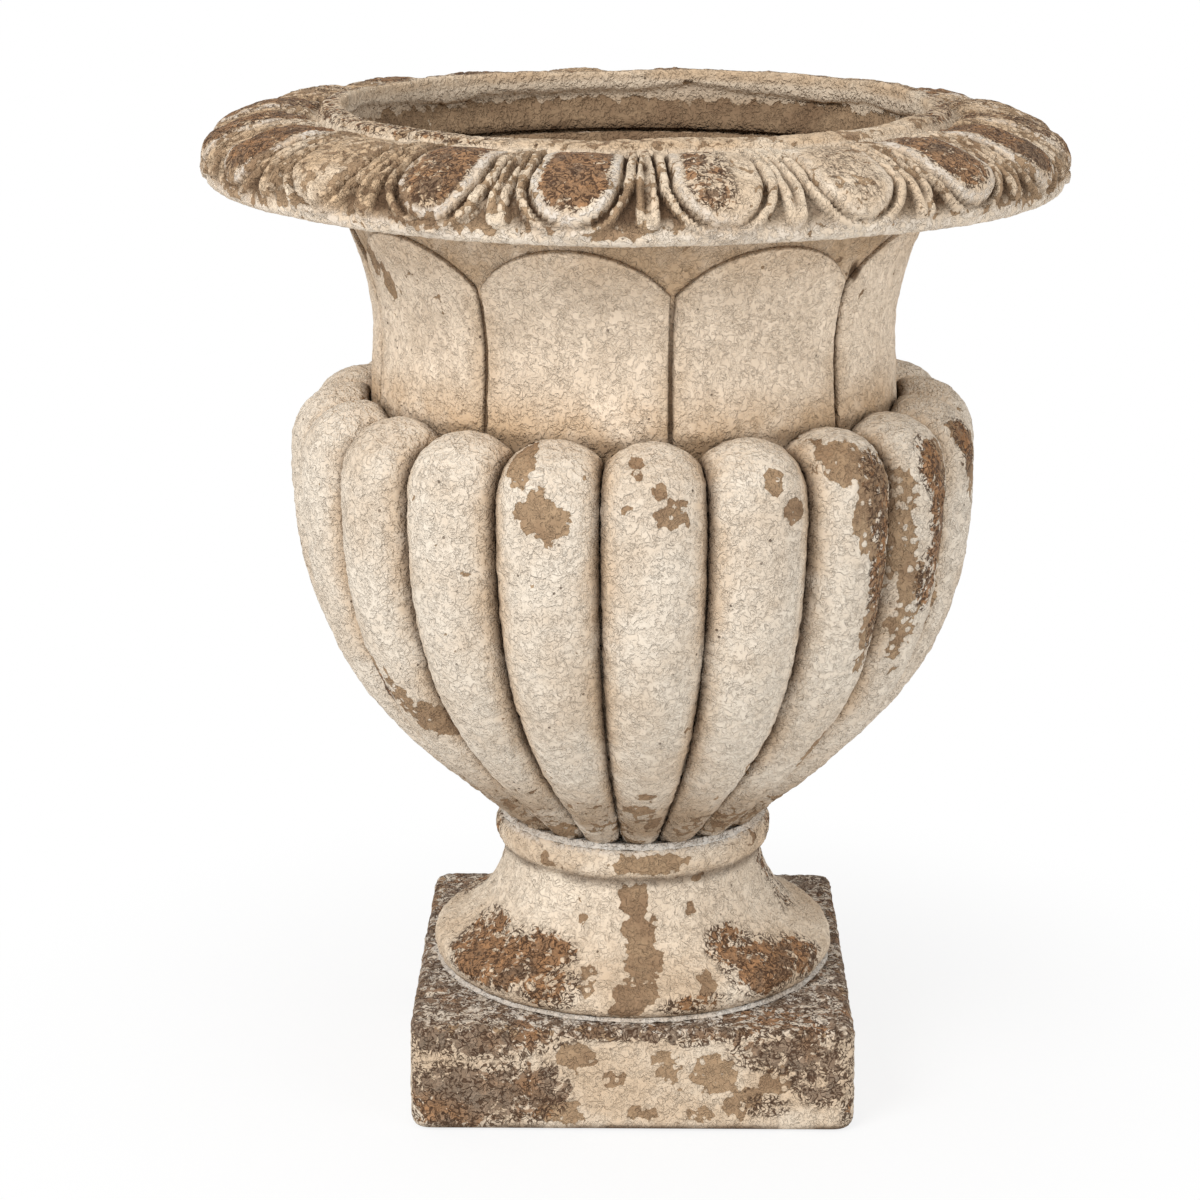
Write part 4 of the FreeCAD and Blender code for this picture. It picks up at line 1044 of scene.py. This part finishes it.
class POT_OT_rim(bpy.types.Operator):
    """Raise the egg-and-dart ornament on the slope of the overhanging rim"""
    bl_idname = "pot.rim"
    bl_label = "Rim"

    COLUMNS = 1400
    # Points of the section, as radius and level (mm): down the slope, in under it, up the mouth, over the lip
    LIP_FOOT, KNEE, NOSE, UNDER = (131.5, 412.9), (166.6, 406.4), (178.6, 394.0), (172.1, 387.5)
    STEP_FOOT, STEP_HEAD, THROAT_FOOT = (122.5, 387.5), (122.5, 393.5), (117.5, 393.5)
    THROAT_HEAD, FOLD, MOUTH = (124.0, 408.2), (120.0, 411.5), (120.0, 418.2)
    LIP_INSIDE, LIP_OUTSIDE, LIP_EDGE = (121.8, 420.0), (127.0, 419.6), (129.2, 417.6)
    SLOPE_ROUND, KNEE_ROUND, NOSE_ROUND, MOUTH_ROUND, LIP_ROUND = 62, 17, 6.5, 1.8, 2.4
    WORN_SIDE = 200                  # turn of the middle of the side with most crackle (degrees)
    HALF_STAIN = (5.0, -2.0)         # turns from its middle over which the first egg's stain ends (degrees)
    PLAIN_EGG = 0.5                  # darkness of an egg that has no value of its own
    ORNAMENT_SIZES = (
        "Egg Width", "Egg Height", "Egg End", "Egg Taper", "Hollow Width", "Shell Width", "Shell Height",
        "Dart Width", "Dart End")

    def section(self):
        """Points down the slope, and those of the rest of the section back to the lip's foot."""
        slope = np.concatenate((
            arc_points(self.LIP_FOOT, self.KNEE, self.SLOPE_ROUND, 27, -1),
            arc_points(self.KNEE, self.NOSE, self.KNEE_ROUND, 13, -1),
            arc_points(self.NOSE, self.UNDER, self.NOSE_ROUND, 6, -1)))
        inside = np.concatenate((
            line_points(self.UNDER, self.STEP_FOOT, 6), line_points(self.STEP_FOOT, self.STEP_HEAD, 1),
            line_points(self.STEP_HEAD, self.THROAT_FOOT, 1),
            line_points(self.THROAT_FOOT, self.THROAT_HEAD, 3),
            line_points(self.THROAT_HEAD, self.FOLD, 2), line_points(self.FOLD, self.MOUTH, 3),
            arc_points(self.MOUTH, self.LIP_INSIDE, self.MOUTH_ROUND, 2, -1),
            line_points(self.LIP_INSIDE, self.LIP_OUTSIDE, 2),
            arc_points(self.LIP_OUTSIDE, self.LIP_EDGE, self.LIP_ROUND, 2, -1),
            line_points(self.LIP_EDGE, self.LIP_FOOT, 2)))
        return slope, inside

    def way_down(self, slope, count):
        """Way from the lip's foot at each point of the section (m), below 0 off the slope."""
        steps = np.hypot(*np.diff(np.concatenate((np.array([self.LIP_FOOT]), slope)), axis=0).T)
        way = np.full(count, -MM)
        way[:len(slope)] = np.cumsum(steps) * MM
        way[-1] = 0
        return way

    def unevenness(self, profile):
        """Rise of each point of the ring (mm): the rim sags, its lip waves and its throat is folded."""
        turn = np.linspace(0, 2 * np.pi, self.COLUMNS, endpoint=False)[None, :]
        radius, level = profile[:, 0, None], profile[:, 1, None]
        reach = ease(radius, 128, 178)
        sag = (-1.5 * np.sin(turn) - 1.2 * np.cos(turn) + 0.5 * np.sin(2 * turn - 0.3)
               + 0.3 * np.sin(5 * turn - 0.4))
        lip_wave = 0.5 * np.sin(3 * turn + 1.0) + 0.35 * np.sin(7 * turn + 0.3) + 0.25 * np.sin(13 * turn)
        on_lip = ease(level, 413.5, 418.5) * ease(radius, 133, 129)
        fold = ease(np.abs(level - 410.5), 4.0, 0.5) * ease(radius, 126, 122)
        fold_wave = (1.4 * np.sin(4 * turn + 2.2) + 1.0 * np.sin(9 * turn + 0.7)
                     + 0.6 * np.sin(17 * turn + 1.9))
        worn_front = 1.4 * ease(np.cos(turn), 0.3, 1.0)
        return reach * sag + on_lip * (lip_wave - 0.6 - worn_front) + fold * fold_wave

    def darkness(self, points, sizes):
        """How dark the stain of each egg is; that of the first egg ends near its middle."""
        turn, first = turn_of(points), math.degrees(sizes.egg_turn)
        half_pitch = 180 / sizes.egg_count
        dark = np.full(len(points), self.PLAIN_EGG)
        for middle, value in DARK_EGGS.items():
            dark[np.abs(wrap(turn - middle, 360)) <= half_pitch] = value
        on_first = np.abs(wrap(turn - first, 360)) <= half_pitch
        dark[on_first] *= ease(turn[on_first], *(first + way for way in self.HALF_STAIN))
        return dark

    def wear(self, points):
        """Masks of the wear on the lip, on the slope and in the throat, with painted shade in the throat
        under the lip.
        """
        z, radius = points[:, 2] / MM, np.hypot(points[:, 0], points[:, 1]) / MM
        worn = ease(np.abs(wrap(turn_of(points) - self.WORN_SIDE, 360)), 150, 125)
        lip = ease(z, 414, 416.5) * ease(radius, 134, 130)
        outer = ease(radius, 128, 136) * ease(z, 386, 396)
        lip_top = 1 - ease(radius, 122.5, 120.8)
        throat = ease(z, 409.5, 405) * ease(radius, 127, 124)
        # The darkening in the throat under the lip is painted shade
        return {
            "crackled": np.clip(worn * (0.66 * lip + 0.28 * outer) * lip_top, 0, 1),
            "flaked": 0.42 * lip * lip_top + (0.3 + 0.3 * worn) * outer + 1.3 * throat,
            "tanned": most(0.75 * lip, (0.45 + 0.5 * worn) * outer, 0.8 * throat),
            "grimed": 0.35 * throat, "away": away_from_front(points) * ease(radius, 123, 128)}

    def execute(self, context):
        sizes = context.scene.pot_sizes
        material = bpy.data.materials["worn_rim"]
        slope, inside = self.section()
        profile = np.concatenate((slope, inside))
        grid = lathe(profile, self.COLUMNS)
        grid[:, :, 2] += self.unevenness(profile) * MM
        obj = solid_from_grid("rim_skin", grid)
        points = points_of(obj)
        store(obj, "slope", np.repeat(self.way_down(slope, len(profile)), self.COLUMNS))
        store(obj, "dark_egg", self.darkness(points, sizes))
        paint(obj, **self.wear(points))
        context.view_layer.update()
        values = {name: getattr(sizes, name.lower().replace(" ", "_")) for name in self.ORNAMENT_SIZES}
        carry_out(obj, bpy.data.node_groups["egg_and_dart"], {
            "Count": sizes.egg_count, "First Turn": sizes.egg_turn, **values, "Wobble": WOBBLE,
            "Seed": SEED, "Material": material})
        weather(obj, material, old_flakes=0.9, old_crackle=0.5, grain=0.6)
        hand_over(obj, "rim_finish", "rim")
        return {"FINISHED"}


class POT_OT_mortar(bpy.types.Operator):
    """Squeeze the pale mortar beds out between the sections"""
    bl_idname = "pot.mortar"
    bl_label = "Mortar"

    COLUMNS = 420
    # node, inner and outer radius, lower and upper level, unevenness and rise of the edge (mm)
    BEDS = (
        ("plinth_bed", 47.0, 86.4, 46.0, 47.5, 1.1, 0.9),
        ("foot_bed", 31.0, 57.9, 112.0, 113.5, 0.9, 2.4),
        ("neck_bed", 98.6, 110.6, 289.0, 290.5, 0.3, 0.0),
        ("rim_bed", 122.5, 127.4, 386.0, 387.5, 0.3, 0.0),
    )

    def execute(self, context):
        turn = np.linspace(0, 2 * np.pi, self.COLUMNS, endpoint=False)[None, :]
        ripple = sum(np.sin(times * (turn + 1.7)) / times ** 0.5 for times in (3, 7, 11, 19, 31, 47)) / 3
        for node, inner, outer, low, high, uneven, rise in self.BEDS:
            start, toe, edge_foot = (inner, low), (outer - 1, low), (outer, low + 0.7)
            crest, back, end = (outer - 1.6, high + rise * 0.5), (outer - 5, high), (inner, high)
            profile = np.concatenate((
                line_points(start, toe, 6), arc_points(toe, edge_foot, 0.9, 3, 1),
                line_points(edge_foot, crest, 4), line_points(crest, back, 4), line_points(back, end, 5),
                line_points(end, start, 1)))
            grid = lathe(profile, self.COLUMNS)
            edge = ease(profile[:, 0, None], outer - 6, outer)
            radial = 1 + edge * uneven * ripple / profile[:, 0, None]
            grid[:, :, :2] *= radial[:, :, None]
            obj = solid_from_grid(node + "_skin", grid)
            paint(obj, grimed=0.06, tanned=0.1)
            weather(obj, bpy.data.materials["worn_mortar"], old_flakes=0.0, lumps=0.6)
            hand_over(obj, "mortar", node)
        return {"FINISHED"}


def seen_directly(tree):
    """1 for rays that show a surface itself, straight on or in a mirror or a glass."""
    light = tree.nodes.new("ShaderNodeLightPath")
    camera, glossy, through = (
        Field(light.outputs[f"Is {kind} Ray"]) for kind in ("Camera", "Glossy", "Transmission"))
    return calc("MAXIMUM", calc("MAXIMUM", camera, glossy), through)


class POT_OT_stage(bpy.types.Operator):
    """Set the floor, the soft lamps and the camera"""
    bl_idname = "pot.stage"
    bl_label = "Stage"

    FLOOR_SIZE = 12.0
    FLOOR_SHADE = 0.92
    NEAR_WHITE = 0.81                # share of plain white in the floor beside the pot
    SHADOW_RING = (0.12, 0.34)       # way from the middle over which the shadow runs out into white
    MIDDLE = (0, 0, 0.24)            # where both lamps point
    KEY_PLACE, KEY_SIZE = (-1.1, -1.3, 1.5), 1.1
    FILL_PLACE, FILL_SIZE = (1.5, -1.2, 0.9), 1.2
    SENSOR_WIDTH = 36                # millimetres

    def floor_material(self):
        """White floor that keeps the pot's shadow and runs out into plain white."""
        material = bpy.data.materials.new("white_floor")
        material.use_nodes = True
        tree = material.node_tree
        shader = tree.nodes["Principled BSDF"]
        shader.inputs["Base Color"].default_value = (*(self.FLOOR_SHADE,) * 3, 1)
        shader.inputs["Roughness"].default_value = 1.0
        shader.inputs["Specular IOR Level"].default_value = 0.0
        glow = tree.nodes.new("ShaderNodeEmission")
        place = tree.nodes.new("ShaderNodeTexCoord").outputs["Object"]
        length = tree.nodes.new("ShaderNodeVectorMath")
        length.operation = "LENGTH"
        tree.links.new(place, length.inputs[0])
        way = Field(length.outputs["Value"])
        far = self.NEAR_WHITE + (1 - self.NEAR_WHITE) * ramp(way, *self.SHADOW_RING)
        seen = seen_directly(tree)
        mix = tree.nodes.new("ShaderNodeMixShader")
        feed(mix.inputs[0], far * seen)
        tree.links.new(shader.outputs[0], mix.inputs[1])
        tree.links.new(glow.outputs[0], mix.inputs[2])
        tree.links.new(mix.outputs[0], tree.nodes["Material Output"].inputs["Surface"])
        return material

    def world(self, ambient):
        world = bpy.data.worlds.new("white_room")
        world.use_nodes = True
        tree = world.node_tree
        background = tree.nodes["Background"]
        background.inputs["Color"].default_value = (1, 1, 1, 1)
        seen = seen_directly(tree)
        feed(background.inputs["Strength"], ambient + (1.0 - ambient) * seen)
        return world

    def lamp(self, name, place, size, power):
        light = bpy.data.lights.new(name, "AREA")
        light.shape = "DISK"
        light.size = size
        light.energy = power
        obj = new_object(name, light)
        obj.location = place
        direction = np.array(self.MIDDLE) - np.array(place)
        flat = math.hypot(direction[0], direction[1])
        obj.rotation_euler = (math.atan2(flat, -direction[2]), 0, math.atan2(-direction[0], direction[1]))

    def execute(self, context):
        stage = context.scene.pot_stage
        half = self.FLOOR_SIZE / 2
        mesh = bpy.data.meshes.new("floor")
        corners = [(-half, -half, 0), (half, -half, 0), (half, half, 0), (-half, half, 0)]
        mesh.from_pydata(corners, [], [(0, 1, 2, 3)])
        mesh.materials.append(self.floor_material())
        floor = new_object("floor", mesh)
        context.scene.world = self.world(stage.ambient)
        self.lamp("key_lamp", self.KEY_PLACE, self.KEY_SIZE, stage.key_power)
        self.lamp("fill_lamp", self.FILL_PLACE, self.FILL_SIZE, stage.fill_power)
        camera = bpy.data.cameras.new("camera")
        camera.sensor_width = self.SENSOR_WIDTH
        camera.lens = stage.lens
        obj = new_object("camera", camera)
        obj.location = stage.camera_place
        obj.rotation_euler = (math.pi / 2 - stage.camera_pitch, 0, stage.camera_yaw)
        context.scene.camera = obj
        context.scene.view_settings.view_transform = "Standard"
        return {"FINISHED"}


OPERATORS = (
    POT_OT_finishes, POT_OT_plinth, POT_OT_foot, POT_OT_bowl, POT_OT_lobes, POT_OT_neck, POT_OT_petals,
    POT_OT_rim, POT_OT_mortar, POT_OT_stage)


class POT_PT_panel(bpy.types.Panel):
    """Sizes, colours and steps of the pot"""
    bl_idname = "POT_PT_panel"
    bl_label = "Urn Flower Pot"
    bl_space_type = "VIEW_3D"
    bl_region_type = "UI"
    bl_category = "Pot"

    def draw(self, context):
        for name in SETTINGS:
            box = self.layout.box()
            settings = getattr(context.scene, name)
            for label in settings.__annotations__:
                box.prop(settings, label)
        for operator in OPERATORS:
            self.layout.operator(operator.bl_idname)


SETTINGS = {
    "pot_sizes": PotSizes, "pot_surface": PotSurface, "pot_colours": PotColours, "pot_stage": PotStage}
CLASSES = (*SETTINGS.values(), *OPERATORS, POT_PT_panel)


def register():
    for item in CLASSES:
        bpy.utils.register_class(item)
    for name, settings in SETTINGS.items():
        setattr(bpy.types.Scene, name, PointerProperty(type=settings))


def unregister():
    for name in SETTINGS:
        delattr(bpy.types.Scene, name)
    for item in reversed(CLASSES):
        bpy.utils.unregister_class(item)


def main():
    register()
    bpy.ops.pot.finishes()
    bpy.ops.pot.plinth()
    bpy.ops.pot.foot()
    bpy.ops.pot.bowl()
    bpy.ops.pot.lobes()
    bpy.ops.pot.neck()
    bpy.ops.pot.petals()
    bpy.ops.pot.rim()
    bpy.ops.pot.mortar()
    bpy.ops.pot.stage()


if __name__ == "__main__":
    main()
